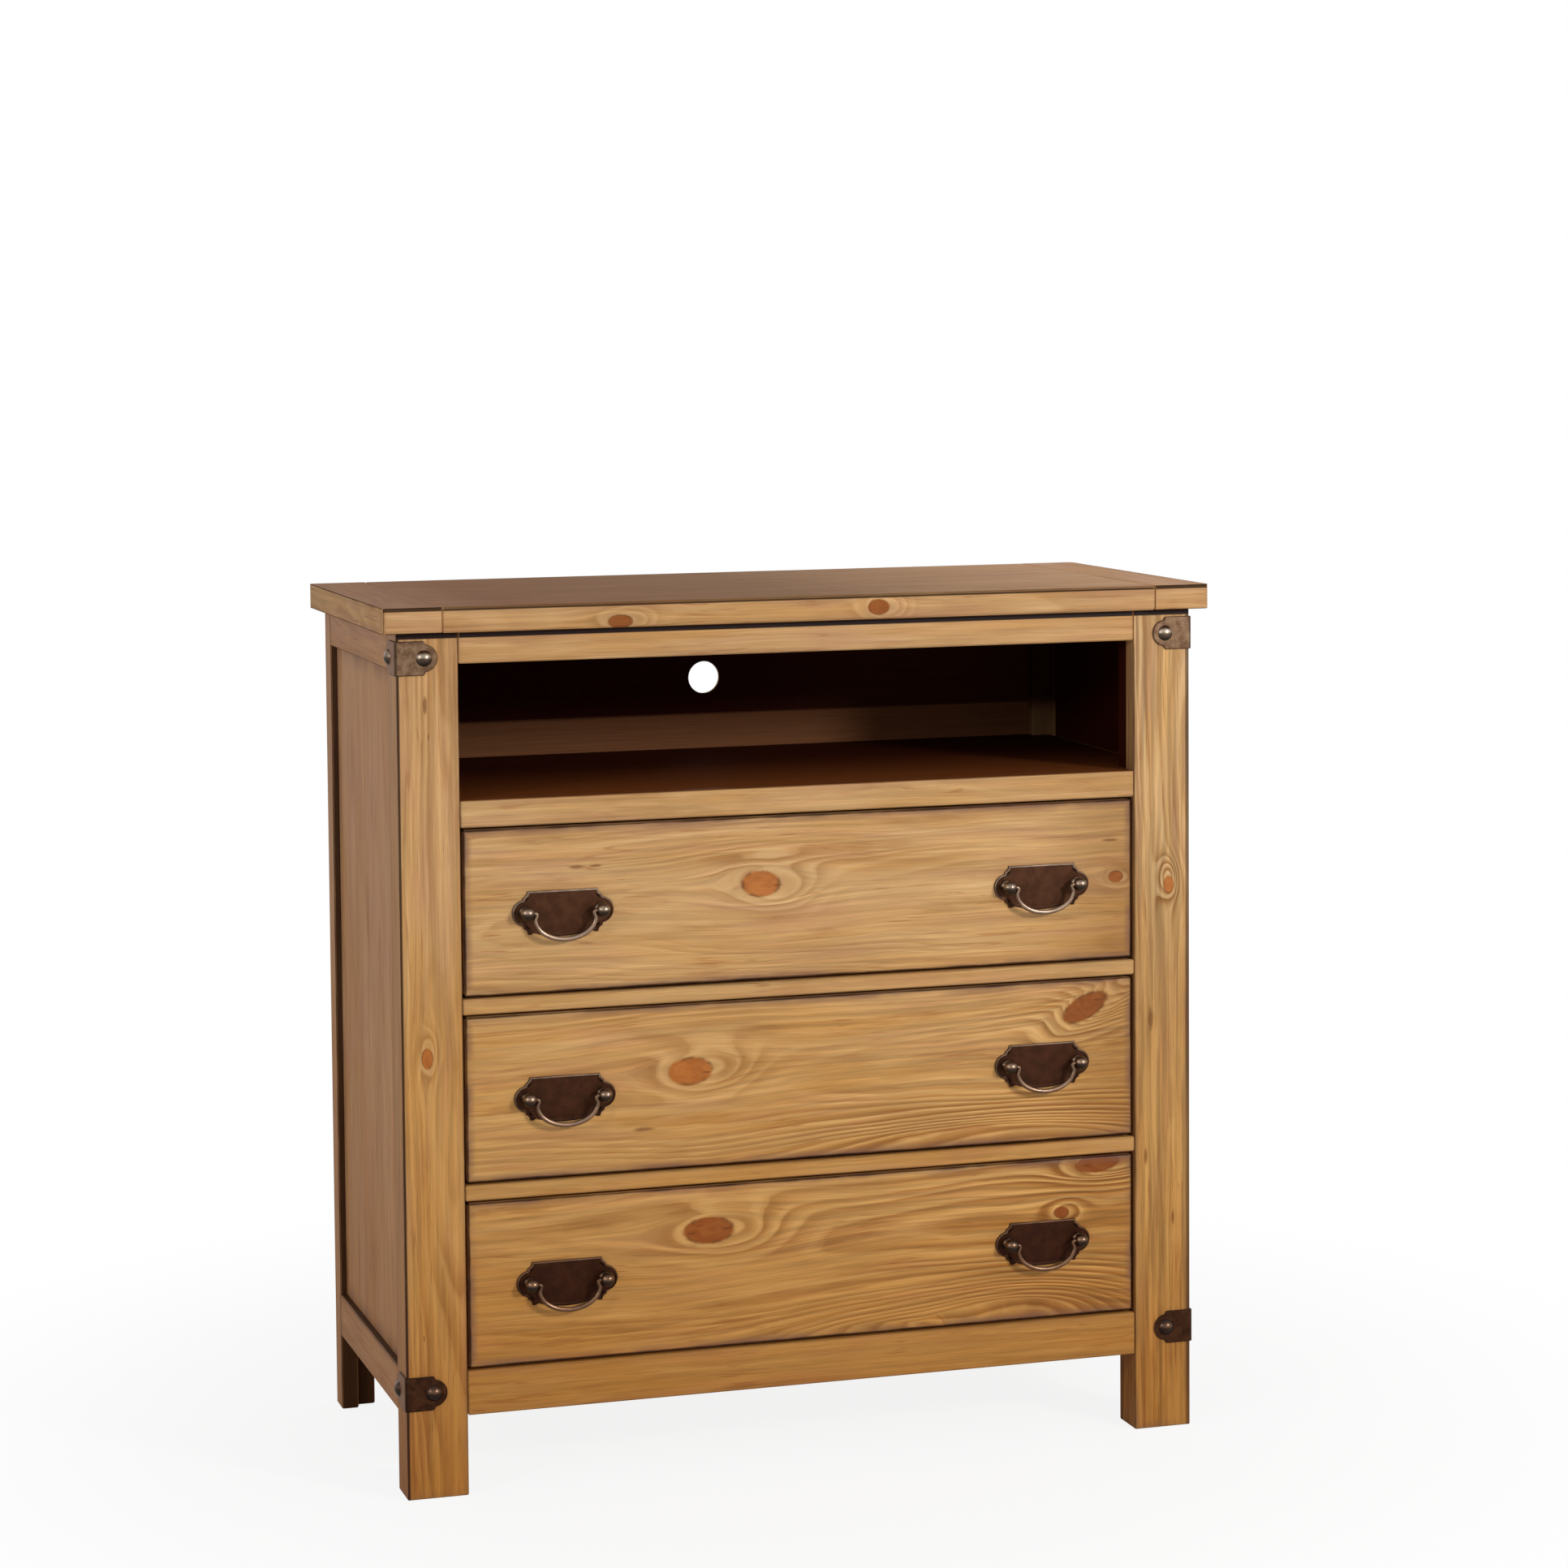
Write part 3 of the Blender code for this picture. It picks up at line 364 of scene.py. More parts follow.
    # Knots: a pale halo, a thin darker rim that comes and goes, and a smooth orange heart
    rough, _ = net.noise(still, (70.0, 70.0, 70.0), 2.0)
    distance = net.add(given["Knot"], net.times(net.less(rough, 0.5), 0.22))
    halo = net.times(net.step(distance, 1.9, 1.25), net.step(distance, 1.0, 1.12))
    colour = net.mix(net.times(halo, 0.25), colour, linear(PINE_PALE))
    mottle, _ = net.noise(net.vector("ADD", still, (1.3, 6.7, 2.1)), (60.0, 150.0, 150.0), 3.0, 0.55)
    deep = net.add(net.step(mottle, 0.36, 0.66, 0.0, 0.40), given["Deep"])
    heart = net.mix(net.math("MINIMUM", deep, 1.0), linear(KNOT_HEART), linear(KNOT_DARK))
    heart_rings = net.math("FRACT", net.times(distance, 3.4))
    heart = net.mix(net.step(heart_rings, 0.3, 0.95, 0.0, 0.12), heart, linear(KNOT_RIM))
    core = net.step(distance, 1.08, 0.92)
    colour = net.mix(net.times(core, 0.94), colour, heart)
    rim = net.times(net.step(distance, 0.86, 1.0), net.step(distance, 1.20, 1.02))
    rim = net.times(rim, net.step(rough, 0.42, 0.62, 0.05, 0.75))
    colour = net.mix(rim, colour, linear(KNOT_RIM))
    spot = net.add(given["Spot"], net.times(net.less(rough, 0.5), 0.9))
    colour = net.mix(net.step(spot, 1.35, 0.45, 0.0, 0.66), colour, linear(KNOT_RIM))

    # Stain that gathered along the edges, and beside it a soft darker band, partly glaze and partly painted
    # shade
    colour = net.mix(1.0, colour, given["Tone"], "MULTIPLY")
    cloud, _ = net.noise(still, (8.0, 24.0, 24.0), 3.0, 0.6)
    soft = net.times(given["Soft"], net.step(cloud, 0.36, 0.62, 0.25, 1.0))
    colour = net.mix(soft, colour, linear(GLAZE_AND_SHADE))
    blur, _ = net.noise(still, (28.0, 28.0, 28.0), 2.0)
    edge = net.math("MULTIPLY_ADD", net.less(blur, 0.5), net.times(given["Burnish"], 0.7), given["Edge"])
    worn = net.step(edge, given["Burnish"], net.times(given["Burnish"], 0.25))
    colour = net.mix(net.times(worn, 0.92), colour, linear(STAIN_AND_SHADE))

    net.feed(end.inputs["Color"], colour)
    roughness = net.add(net.times(fibre, 0.16), net.times(late, -0.05), net.times(worn, 0.25), 0.36)
    net.feed(end.inputs["Roughness"], roughness)
    height = net.add(net.times(fibre, 0.5), net.times(streak, 0.3), net.times(late, 0.35))
    height = net.add(height, net.times(core, 0.3))
    net.feed(end.inputs["Height"], net.less(height, net.times(dashes, 0.3)))
    return net.tree


KNOT = knot_group()
PINE = pine_group()
AXES = {"X": (0, 2, 1), "Y": (1, 2, 0), "Z": (2, 0, 1)}
SHELF_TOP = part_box("shelf_board")[1].z
FRONT_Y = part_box("front_leg_left")[0].y
BACK_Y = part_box("back_panel")[0].y
COMPARTMENT_LOW = (-0.4495, FRONT_Y + 0.0225, SHELF_TOP - 0.0015)
COMPARTMENT_HIGH = (0.4495, BACK_Y + 0.0015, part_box("front_leg_left")[1].z + 0.001)


def use_group(net, tree, inputs):
    made = net.node("Group", node_tree=tree)
    for name, value in inputs.items():
        net.feed(made.inputs[name], value)
    return made.outputs


def use_knot(net, place, along, across, length, width, turn=0.0, lift=0.0, core=1.0):
    inputs = {"Grain": place, "Along": along, "Across": across, "Length": length, "Width": width}
    inputs.update({"Turn": math.radians(turn), "Lift": lift, "Core": core})
    return use_group(net, KNOT, inputs)


def new_material(name):
    material = bpy.data.materials.new(name)
    material.use_nodes = True
    net = Net(material.node_tree)
    return material, net, material.node_tree.nodes["Principled BSDF"]


def nearest_edge(net, parts, low, high):
    """How far a point on a board's face is from the board's nearest edge."""
    faces = [
        net.math("MINIMUM", net.less(part, lowest), net.less(highest, part))
        for part, lowest, highest in zip(parts, low, high)
    ]
    nearest = net.math("MINIMUM", faces[0], faces[1])
    farther = net.math("MAXIMUM", faces[0], faces[1])
    return net.math("MAXIMUM", nearest, net.math("MINIMUM", farther, faces[2]))


def pine(name, node, grain="X", seed=0.0, pith=(0.05, 0.0, 0.05), spacing=0.0046, knots=(), spots=(),
         tone=(1, 1, 1), foot_darkening=1.0, burnish=0.0016, glaze=0.25, band=0.026, contrast=0.8, contrast_right=None,
         specular=0.15, right_end=0.0, box=None, shadowed=None, bands=(), top_reflection=None, front_grain=False,
         inside=None, ramp=DARKER_TOWARDS_FOOT, depth=(0.0, 0.0), flank_shade=None, dull=0.0):
    """A pine board's material. A knot is (along, across, half length, half width, turn, lift, core),
    its place in the frame's metres and its turn in degrees; a spot is (along, across, half length).
    A band is a dark line on the front face, such as the painted shadow under the top: (axis, from, to,
    strength)."""
    material, net, shader = new_material(name)
    low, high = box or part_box(node)
    coordinates = net.node("TexCoord").outputs
    parts = net.split(coordinates["Object"])
    sides, front, up = net.split(coordinates["Normal"])
    facing_front = net.step(front, -0.5, -0.9)
    along, across, deep = (parts[axis] for axis in AXES[grain])
    place = net.join(along, across, deep)
    if front_grain:
        made = net.node("Mix", data_type="VECTOR")
        net.feed(made.inputs[0], facing_front)
        net.feed(made.inputs[4], place)
        net.feed(made.inputs[5], net.join(parts[0], parts[2], parts[1]))
        place = made.outputs[1]
    lift, shift, distance, near, spot = 0.0, 0.0, NO_KNOT, NO_KNOT, NO_KNOT
    for measures in knots:
        knot = use_knot(net, place, *measures)
        lift = net.add(knot["Lift"], lift)
        shift = net.add(knot["Shift"], shift)
        distance = net.math("MINIMUM", knot["Distance"], distance)
        near = net.math("MINIMUM", knot["Near"], near)
    for spot_along, spot_across, size in spots:
        knot = use_knot(net, place, spot_along, spot_across, size, size * SPOT_SHAPE)
        spot = net.math("MINIMUM", knot["Distance"], spot)
    middle = [(low[axis] + high[axis]) / 2 for axis in AXES[grain]]
    offset = (pith[0], pith[1] + middle[1], pith[2] + middle[2])
    edge = nearest_edge(net, parts, low, high)
    soft = net.step(edge, band, 0.001, 0.0, glaze)
    deeper = net.by_height(parts[2], ramp)
    shade = net.mix(foot_darkening, (1, 1, 1, 1), deeper)
    shade = net.mix(1.0, shade, (*tone, 1), "MULTIPLY")
    if right_end:
        duller = net.mix(1.0, shade, (*RIGHT_END_TONE, 1), "MULTIPLY")
        shade = net.mix(net.step(parts[0], high.x - 0.14, high.x - 0.004, 0.0, right_end), shade, duller)
    # Painted shade on the faces that turn sideways
    if flank_shade is not None:
        duller = net.mix(1.0, shade, (*flank_shade, 1), "MULTIPLY")
        shade = net.mix(net.step(net.math("ABSOLUTE", sides), 0.5, 0.9), shade, duller)
    if contrast_right is not None:
        contrast = net.step(parts[0], -0.15, 0.34, contrast, contrast_right)
    inputs = {"Grain": place, "Seed": seed, "Pith": offset, "Spacing": spacing, "Lift": lift, "Shift": shift}
    inputs.update({"Knot": distance, "Near": near, "Spot": spot, "Edge": edge, "Burnish": burnish})
    inputs.update({"Soft": soft, "Tone": shade, "Contrast": contrast})
    inputs["Deep"] = net.step(parts[0], 0.0, 0.3, *depth)
    figure = use_group(net, PINE, inputs)
    colour = figure["Color"]
    # Painted reflection on the faces that look up
    if top_reflection is not None:
        toned = net.by_height(net.add(parts[0], 0.5), top_reflection, 0.5)
        toned = net.mix(1.0, colour, toned, "MULTIPLY")
        colour = net.mix(net.step(up, 0.5, 0.9), colour, toned)
    for axis, start, stop, strength in bands:
        dark = net.times(net.band(parts[axis], start, stop, LINE_SOFTNESS), facing_front, strength)
        colour = net.mix(dark, colour, linear(STAIN_AND_SHADE))
    if shadowed is not None:
        # Painted shade: the faces that turn this way, the step faces in the frame's recesses, are painted
        # dark
        turned = net.node("VectorMath", operation="DOT_PRODUCT")
        net.feed(turned.inputs[0], coordinates["Normal"])
        net.feed(turned.inputs[1], shadowed)
        colour = net.mix(net.step(turned.outputs["Value"], 0.5, 0.9, 0.0, 0.86), colour, linear(STAIN_AND_SHADE))
    if inside is not None:
        # Painted shade in the compartment: it is painted dark, with painted light low on its back and on its
        # posts, and towards the front of its floor
        within, start = 1.0, list(COMPARTMENT_LOW)
        if inside == "floor":
            start[1] = low.y + 0.0002
        for part, lowest, highest in zip(parts, start, COMPARTMENT_HIGH):
            within = net.times(within, net.band(part, lowest, highest, LINE_SOFTNESS))
        if inside == "floor":
            painted_light, fade = INSIDE_SHELF_PAINTED_LIGHT, net.step(parts[1], BACK_Y - 0.10, FRONT_Y + 0.02, 0.10, 1.0)
        elif inside == "back":
            painted_light, fade = INSIDE_BACK_PAINTED_LIGHT, net.step(parts[2], SHELF_TOP + 0.044, SHELF_TOP + 0.039)
            fade = net.math("MAXIMUM", fade, net.step(parts[0], -0.05, 0.30, 0.0, 0.16))
        elif inside == "post":
            painted_light, fade = INSIDE_POST_PAINTED_LIGHT, net.step(parts[2], SHELF_TOP + 0.050, SHELF_TOP + 0.026, 0.06, 1.0)
        else:
            painted_light, fade = INSIDE_SHELF_PAINTED_LIGHT, 0.04
        dark = net.mix(fade, linear(INSIDE_PAINTED_SHADE), linear(painted_light))
        dark = net.shade(dark, net.step(figure["Height"], 0.15, 0.75, 0.78, 1.22))
        colour = net.mix(within, colour, dark)
    net.feed(shader.inputs["Base Color"], colour)
    net.feed(shader.inputs["Roughness"], net.add(figure["Roughness"], dull))
    shader.inputs["Specular IOR Level"].default_value = specular
    bump = net.node("Bump", {"Height": figure["Height"], "Strength": 0.35, "Distance": 0.0006})
    net.feed(shader.inputs["Normal"], bump.outputs["Normal"])
    return material


# Iron
def iron(name, dark, brown, rub_and_shading_level=0.0, roughness=0.34, metallic=0.9, bump_strength=0.25, coat=0.0,
         flank=None):
    """Dark oiled iron: brown and black patches, brighter where the mesh attribute is high, for worn metal and
    for painted highlights, and with painted shade where it is below zero."""
    material, net, shader = new_material(name)
    coordinates = net.node("TexCoord").outputs
    point = coordinates["Object"]
    patches, _ = net.noise(point, (85, 85, 85), 4.0, 0.6)
    grit, _ = net.noise(point, (850, 850, 850), 3.0, 0.6)
    colour = net.mix(net.step(patches, 0.36, 0.66), linear(dark), linear(brown))
    colour = net.shade(colour, net.step(grit, 0.30, 0.70, 0.88, 1.10))
    rub = net.node("Attribute", attribute_name="rub").outputs["Fac"]
    wear_and_highlight = net.times(rub, net.step(patches, 0.30, 0.60, 0.65, 1.0), rub_and_shading_level)
    colour = net.mix(wear_and_highlight, colour, linear(IRON_RUBBED_AND_LIT))
    height = net.split(point)[2]
    # Painted light: the iron is darker low down and brighter high up
    colour = net.mix(1.0, colour, net.by_height(height, IRON_PAINTED_LIGHT_BY_HEIGHT, 0.25), "MULTIPLY")
    # Painted light: faces turned sideways, such as a bracket's side wing, take the lighter flank colour
    if flank is not None:
        sides = net.math("ABSOLUTE", net.split(coordinates["Normal"])[0])
        colour = net.mix(net.step(sides, 0.5, 0.95, 0.0, 0.8), colour, linear(flank))
    # Painted shade where the attribute is below zero
    colour = net.mix(net.math("MAXIMUM", net.times(rub, -0.8), 0.0), colour, linear(IRON_PAINTED_SHADE))
    net.feed(shader.inputs["Base Color"], colour)
    shader.inputs["Metallic"].default_value = metallic
    shader.inputs["Specular IOR Level"].default_value = 0.12
    shader.inputs["Coat Weight"].default_value = coat
    shader.inputs["Coat Roughness"].default_value = 0.16
    rough = net.add(net.times(patches, 0.16), net.times(grit, 0.08), net.times(wear_and_highlight, -0.10))
    net.feed(shader.inputs["Roughness"], net.add(rough, roughness - 0.12))
    relief = net.add(net.times(patches, 0.6), net.times(grit, 0.4))
    bump = net.node("Bump", {"Height": relief, "Strength": bump_strength, "Distance": 0.0004})
    net.feed(shader.inputs["Normal"], bump.outputs["Normal"])
    return material


# Boards and their materials
def dress(node, material):
    """Gives a CAD node its material."""
    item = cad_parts[node]
    item.data.materials.clear()
    item.data.materials.append(material)


DRAWER_KNOTS = {
    1: [
        (-0.053, 0.6607, 0.0215, 0.0142, -3, 3.0, 1),
        (0.3726, 0.6475, 0.0085, 0.0065, 0, 1.4, 1),
    ],
    2: [
        (-0.137, 0.4547, 0.0245, 0.0150, 3, 3.4, 1),
        (0.3341, 0.4983, 0.0285, 0.0130, 26, 4.2, 1),
        (0.200, 0.330, 0.085, 0.028, 0, 3.8, 0),
    ],
    3: [
        (-0.1171, 0.2737, 0.0285, 0.0145, 0, 3.4, 1),
        (0.3486, 0.3164, 0.026, 0.0105, 4, 3.6, 1),
        (0.3043, 0.2617, 0.0090, 0.0065, 0, -1.6, 1),
        (0.235, 0.132, 0.050, 0.026, 0, 5.4, 0),
        (0.075, 0.126, 0.045, 0.020, 0, 2.8, 0),
    ],
}
DRAWER_SPOTS = {
    1: [(-0.0335, 0.6585, 0.0060), (-0.265, 0.690, 0.010), (-0.243, 0.6905, 0.007), (0.366, 0.690, 0.009)],
    2: [(0.3500, 0.5060, 0.0075), (-0.190, 0.393, 0.012), (-0.118, 0.4525, 0.005)],
    3: [(-0.0960, 0.2745, 0.0065), (-0.137, 0.2715, 0.005), (0.336, 0.314, 0.006)],
}
LEG_KNOTS = {
    "left": [
        (0.4878, -0.435, 0.011, 0.006, 0, 2.0, 1),
    ],
    "right": [
        (0.635, 0.4374, 0.010, 0.006, 0, 3.5, 1),
    ],
}
LEG_SPOTS = {
    "left": [(0.8743, -0.4322, 0.010), (0.1787, -0.443, 0.004), (0.8400, -0.4290, 0.004)],
    "right": [(0.3197, 0.4084, 0.010), (0.480, 0.4150, 0.014), (0.246, 0.4420, 0.008)],
}
# What differs between the drawer fronts: the rings' spacing, the contrast and the duller, darker colour at
# the right end, and how dark the knots are on the left and on the right
DRAWER_LOOKS = {
    1: {"spacing": 0.0046, "contrast_right": 0.90, "right_end": 0.85, "depth": (0.0, 0.40)},
    2: {"spacing": 0.0058, "contrast_right": 1.35, "right_end": 0.75, "depth": (0.1, 0.75)},
    3: {"spacing": 0.0072, "contrast_right": 1.70, "right_end": 0.45, "depth": (0.7, 0.90)},
}
LEG_LOOKS = {
    "left": {"tone": (0.96, 0.93, 0.90), "glaze": 0.22, "contrast": 1.0, "ramp": DARKER_TOWARDS_FOOT},
    "right": {"tone": (1.02, 1.06, 1.10), "glaze": 0.35, "contrast": 1.9, "ramp": DARKER_TOWARDS_FOOT_RIGHT_LEG},
}
TOP_EDGE_KNOTS = [
    (-0.2163, 0.9606, 0.0135, 0.0075, 0, 3.0, 1),
    (0.0818, 0.9677, 0.0125, 0.0085, 0, 3.5, 1),
]

# Dark lines on the front faces: how wide the painted shadow under the top is, and how far each line runs past
# its edge
SHADOW_LINE = 0.0075
PAST_EDGE = 0.002
# Painted shade and sheen on the sides: darker and greyer than the front
SIDE_SHADE_AND_SHEEN = (0.93, 0.85, 1.00)
# Painted shade on the front legs' side faces
FLANK_PAINTED_SHADE = (0.84, 0.75, 0.70)
RIGHT_END_TONE = (0.70, 0.63, 0.50)
# Painted reflection on the top's upper face, from left to right: dark on the left, bright and bluish on the
# right
TOP_PAINTED_REFLECTION = (
    (0.04, (0.64, 0.53, 0.50)),
    (0.16, (0.44, 0.28, 0.11)),
    (0.50, (0.52, 0.42, 0.31)),
    (0.90, (1.25, 1.22, 1.40)),
)


def edge_line(axis, edge, width, strength):
    """A dark line along a board's edge. It runs upwards from the edge, or downwards if the width is below
    zero."""
    if width > 0:
        return axis, edge - PAST_EDGE, edge + width, strength
    return axis, edge + width, edge + PAST_EDGE, strength


def make_front():
    for number, knots in DRAWER_KNOTS.items():
        node = f"drawer_front_{number}"
        dress(node, pine(
            "pine_" + node, node, "X", seed=1.0 + number * 3.1, knots=knots, spots=DRAWER_SPOTS[number],
            pith=(0.03, 0.012 * (number - 2), 0.075), burnish=0.0030, glaze=0.85, band=0.012,
            contrast=0.85, **DRAWER_LOOKS[number],
        ))
    for side, knots in LEG_KNOTS.items():
        node = "front_leg_" + side
        low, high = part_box(node)
        # The line along the top of the leg is a painted shadow under the top
        bands = [edge_line(2, high.z, -SHADOW_LINE, 1.0)]
        if side == "left":
            bands.append(edge_line(0, low.x, 0.0034, 0.9))
        else:
            bands.append(edge_line(0, high.x, -0.0055, 0.6))
        dress(node, pine(
            "pine_" + node, node, "Z", seed=11.3 + len(side), knots=knots, spots=LEG_SPOTS[side],
            pith=(0.02, 0.03, 0.06), burnish=0.0012, band=0.012, bands=bands, inside="wall",
            flank_shade=FLANK_PAINTED_SHADE, **LEG_LOOKS[side],
        ))
    rails = ("bottom_rail", "drawer_rail_1", "drawer_rail_2", "shelf_rail", "top_rail")
    for order, node in enumerate(rails):
        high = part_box(node)[1]
        dress(node, pine(
            "pine_" + node, node, "X", seed=51.3 + order * 2.3, pith=(0.01, 0.02 * order - 0.04, 0.07),
            burnish=0.0012, glaze=0.12, band=0.008, contrast=0.6, tone=(0.95, 0.95, 0.95),
            # The top rail gets the painted shadow under the top
            bands=[edge_line(2, high.z, -SHADOW_LINE, 1.0)] if node == "top_rail" else (),
            inside="floor" if node == "shelf_rail" else "wall",
        ))


def make_top_and_sides():
    top_low, top_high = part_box("top_end_left")[0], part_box("top_end_right")[1]
    top_band = [edge_line(2, top_high.z, -0.0048, 0.9), edge_line(0, top_low.x, 0.003, 0.8)]
    dress("top_board", pine(
        "pine_top_board", "top_board", "X", seed=47.7, knots=TOP_EDGE_KNOTS, pith=(0.02, 0.0, 0.09),
        tone=(0.93, 0.92, 0.93), burnish=0.0012, glaze=0.16, band=0.010, contrast=0.7, bands=top_band,
        top_reflection=TOP_PAINTED_REFLECTION, box=(top_low, top_high), specular=0.06, dull=0.15, depth=(0.8, 0.8),
    ))
    leg_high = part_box("front_leg_left")[1]
    rear_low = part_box("rear_leg_left")[0]
    rail_top, top_rail_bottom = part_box("side_bottom_rail_left")[1].z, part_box("side_top_rail_left")[0].z
    for side in LEG_KNOTS:
        dress(f"top_end_{side}", pine(
            f"pine_top_end_{side}", f"top_end_{side}", "Y", seed=41.1 + len(side), burnish=0.0012, glaze=0.16,
            band=0.010, tone=(0.93, 0.91, 0.95), contrast=0.7, bands=top_band, top_reflection=TOP_PAINTED_REFLECTION,
            front_grain=True, box=(top_low, top_high), specular=0.06, dull=0.15,
        ))
        panel_low, panel_high = (corner.copy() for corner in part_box("side_panel_" + side))
        panel_low.y, panel_high.y = leg_high.y, rear_low.y
        panel_low.z, panel_high.z = rail_top, top_rail_bottom
        dress(f"side_panel_{side}", pine(
            f"pine_side_panel_{side}", f"side_panel_{side}", "Z", seed=21.9 + len(side),
            pith=(0.04, 0.05, 0.03), foot_darkening=0.55, tone=SIDE_SHADE_AND_SHEEN, burnish=0.0016, glaze=0.5, contrast=0.5,
            specular=0.05, box=(panel_low, panel_high), inside="wall",
        ))
        dress(f"rear_leg_{side}", pine(
            f"pine_rear_leg_{side}", f"rear_leg_{side}", "Z", seed=15.7 + len(side), foot_darkening=0.55,
            tone=SIDE_SHADE_AND_SHEEN, burnish=0.0016, contrast=0.5, specular=0.05, shadowed=(0, -1, 0), inside="post",
        ))
        for level, way in (("top", -1), ("bottom", 1)):
            node = f"side_{level}_rail_{side}"
            dress(node, pine(
                "pine_" + node, node, "Y", seed=31.2 + len(side) + len(level), foot_darkening=0.55, tone=SIDE_SHADE_AND_SHEEN,
                burnish=0.0012, contrast=0.5, specular=0.05, shadowed=(0, 0, way), inside="wall",
            ))


def make_inner_boards():
    inner = [("shelf_board", "X"), ("back_panel", "X"), ("back_top_rail", "X"), ("back_bottom_rail", "X")]
    inner += [("back_shelf_rail", "X")]
    for number in DRAWER_KNOTS:
        inner += [(f"drawer_back_{number}", "X"), (f"drawer_bottom_{number}", "X")]
        for side in LEG_KNOTS:
            inner += [(f"drawer_side_{side}_{number}", "Y"), (f"drawer_runner_{side}_{number}", "Y")]
    inside_shading = {"shelf_board": "floor", "back_panel": "back"}
    for order, (node, grain) in enumerate(inner):
        dress(node, pine(
            "pine_" + node, node, grain, seed=71.0 + order * 1.9, foot_darkening=0.0, burnish=0.001, glaze=0.0,
            contrast=0.5, specular=0.03, inside=inside_shading.get(node, "wall"), dull=0.25,
        ))


# Metal shapes
def arc(centre, radius, start, end, steps):
    """Points on an arc, angles in degrees."""
    angles = [math.radians(start + (end - start) * step / steps) for step in range(steps + 1)]
    return [(centre[0] + radius * math.cos(angle), centre[1] + radius * math.sin(angle)) for angle in angles]


def stamped(shape, points, height, rim):
    """A stamped sheet in XY from its outline, counter-clockwise. Each step of the rim is how far it goes
    inwards and up, and the metal's value there: above zero worn bright, below zero painted shade; the last
    one rounds off into the flat middle."""
    rub = shape.verts.layers.float["rub"]
    low = [shape.verts.new((x, y, 0)) for x, y in points]
    high = [shape.verts.new((x, y, height)) for x, y in points]
    shape.faces.new(low[::-1])
    top = shape.faces.new(high)
    for place in range(len(points)):
        shape.faces.new((low[place - 1], low[place], high[place], high[place - 1]))
    shape.normal_update()
    for inset, rise, rub_and_shading_level in rim:
        bmesh.ops.inset_region(
            shape, faces=[top], thickness=inset, depth=rise, use_even_offset=True, use_boundary=True
        )
        for spot in top.verts:
            spot[rub] = rub_and_shading_level


def turned(shape, profile, sides, place, rub_and_shading_level=0.0):
    """Adds a body turned about the Z axis of a matrix. The profile is a list of (radius, height)."""
    rub = shape.verts.layers.float["rub"]
    rings = []
    for radius, height in profile:
        count = sides if radius > 1e-6 else 1
        turns = [2 * math.pi * step / sides for step in range(count)]
        spots = [Vector((radius * math.cos(turn), radius * math.sin(turn), height)) for turn in turns]
        rings.append([shape.verts.new(place @ spot) for spot in spots])
    for ring in rings:
        for spot in ring:
            spot[rub] = rub_and_shading_level
    for first, second in zip(rings, rings[1:]):
        for step in range(sides):
            corners = [first[step % len(first)], first[(step + 1) % sides % len(first)]]
            corners += [second[(step + 1) % sides % len(second)], second[step % len(second)]]
            shape.faces.new(list(dict.fromkeys(corners)))


def paint_shade_and_highlight(shape, radius):
    """Painted shade on the lower half of a ball or a stud, and a painted highlight on its upper half: its Y
    axis points up once it is in place."""
    rub = shape.verts.layers.float["rub"]
    for spot in shape.verts:
        rise = spot.co.y / radius
        bright = max(0, 1 - abs(rise - 0.30) / 0.42)
        spot[rub] = bright if rise > -0.08 else -min(1, -1.5 * rise)


def new_shape():
    shape = bmesh.new()
    shape.verts.layers.float.new("rub")
    return shape


def finished(shape, name, angle=42):
    """A smooth mesh from the shape, with edges sharper than the angle kept."""
    bmesh.ops.recalc_face_normals(shape, faces=shape.faces)
    mesh = bpy.data.meshes.new(name)
    shape.to_mesh(mesh)
    shape.free()
    mesh.shade_smooth()
    mesh.set_sharp_from_angle(angle=math.radians(angle))
    return mesh


def carved(mesh, tool):
    """The mesh with the tool's shape cut out of it."""
    items = []
    for part in (mesh, tool):
        item = bpy.data.objects.new(part.name, part)
        bpy.context.scene.collection.objects.link(item)
        items.append(item)
    cut = items[0].modifiers.new("bore", "BOOLEAN")
    cut.operation = "DIFFERENCE"
    cut.solver = "EXACT"
    cut.object = items[1]
    graph = bpy.context.evaluated_depsgraph_get()
    result = bpy.data.meshes.new_from_object(items[0].evaluated_get(graph))
    for item in items:
        bpy.data.objects.remove(item, do_unlink=True)
    return result


def add_metal(name, mesh, matrix, body, node, material):
    """A copy of the mesh at its place, in place of the CAD node."""
    own = mesh.copy()
    own.transform(matrix)
    own.materials.clear()
    own.materials.append(material)
    piece = bpy.data.objects.new(name, own)
    bpy.context.scene.collection.objects.link(piece)
    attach(piece, body)
    if node:
        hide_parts(node)
    return piece


# Pulls
def plate_outline():
    """The plate's outline: lobes round the posts, joined to the straight edges by hollow notches."""
    notch = arc((SHOULDER_X + NOTCH_RADIUS, PLATE_TOP), NOTCH_RADIUS, 180, 250, 8)
    start = math.degrees(math.atan2(notch[-1][1], notch[-1][0] - POST_X))
    upper = notch + arc((POST_X, 0), LOBE_RADIUS, start - 5, 0, 12)
    lower = [(x, -y) for x, y in reversed(upper[:-1])]
    hollow = [((SHOULDER_X + HOLLOW_X) / 2, -PLATE_TOP), (HOLLOW_X, HOLLOW_Z)]
    bulge = [(HOLLOW_X * part / 8, HOLLOW_Z - BULGE * (1 - (part / 8) ** 2)) for part in range(7, -1, -1)]
    right = upper + lower + hollow + bulge
    left = [(-x, y) for x, y in reversed(right[:-1])]
    return (right + left)[::-1]


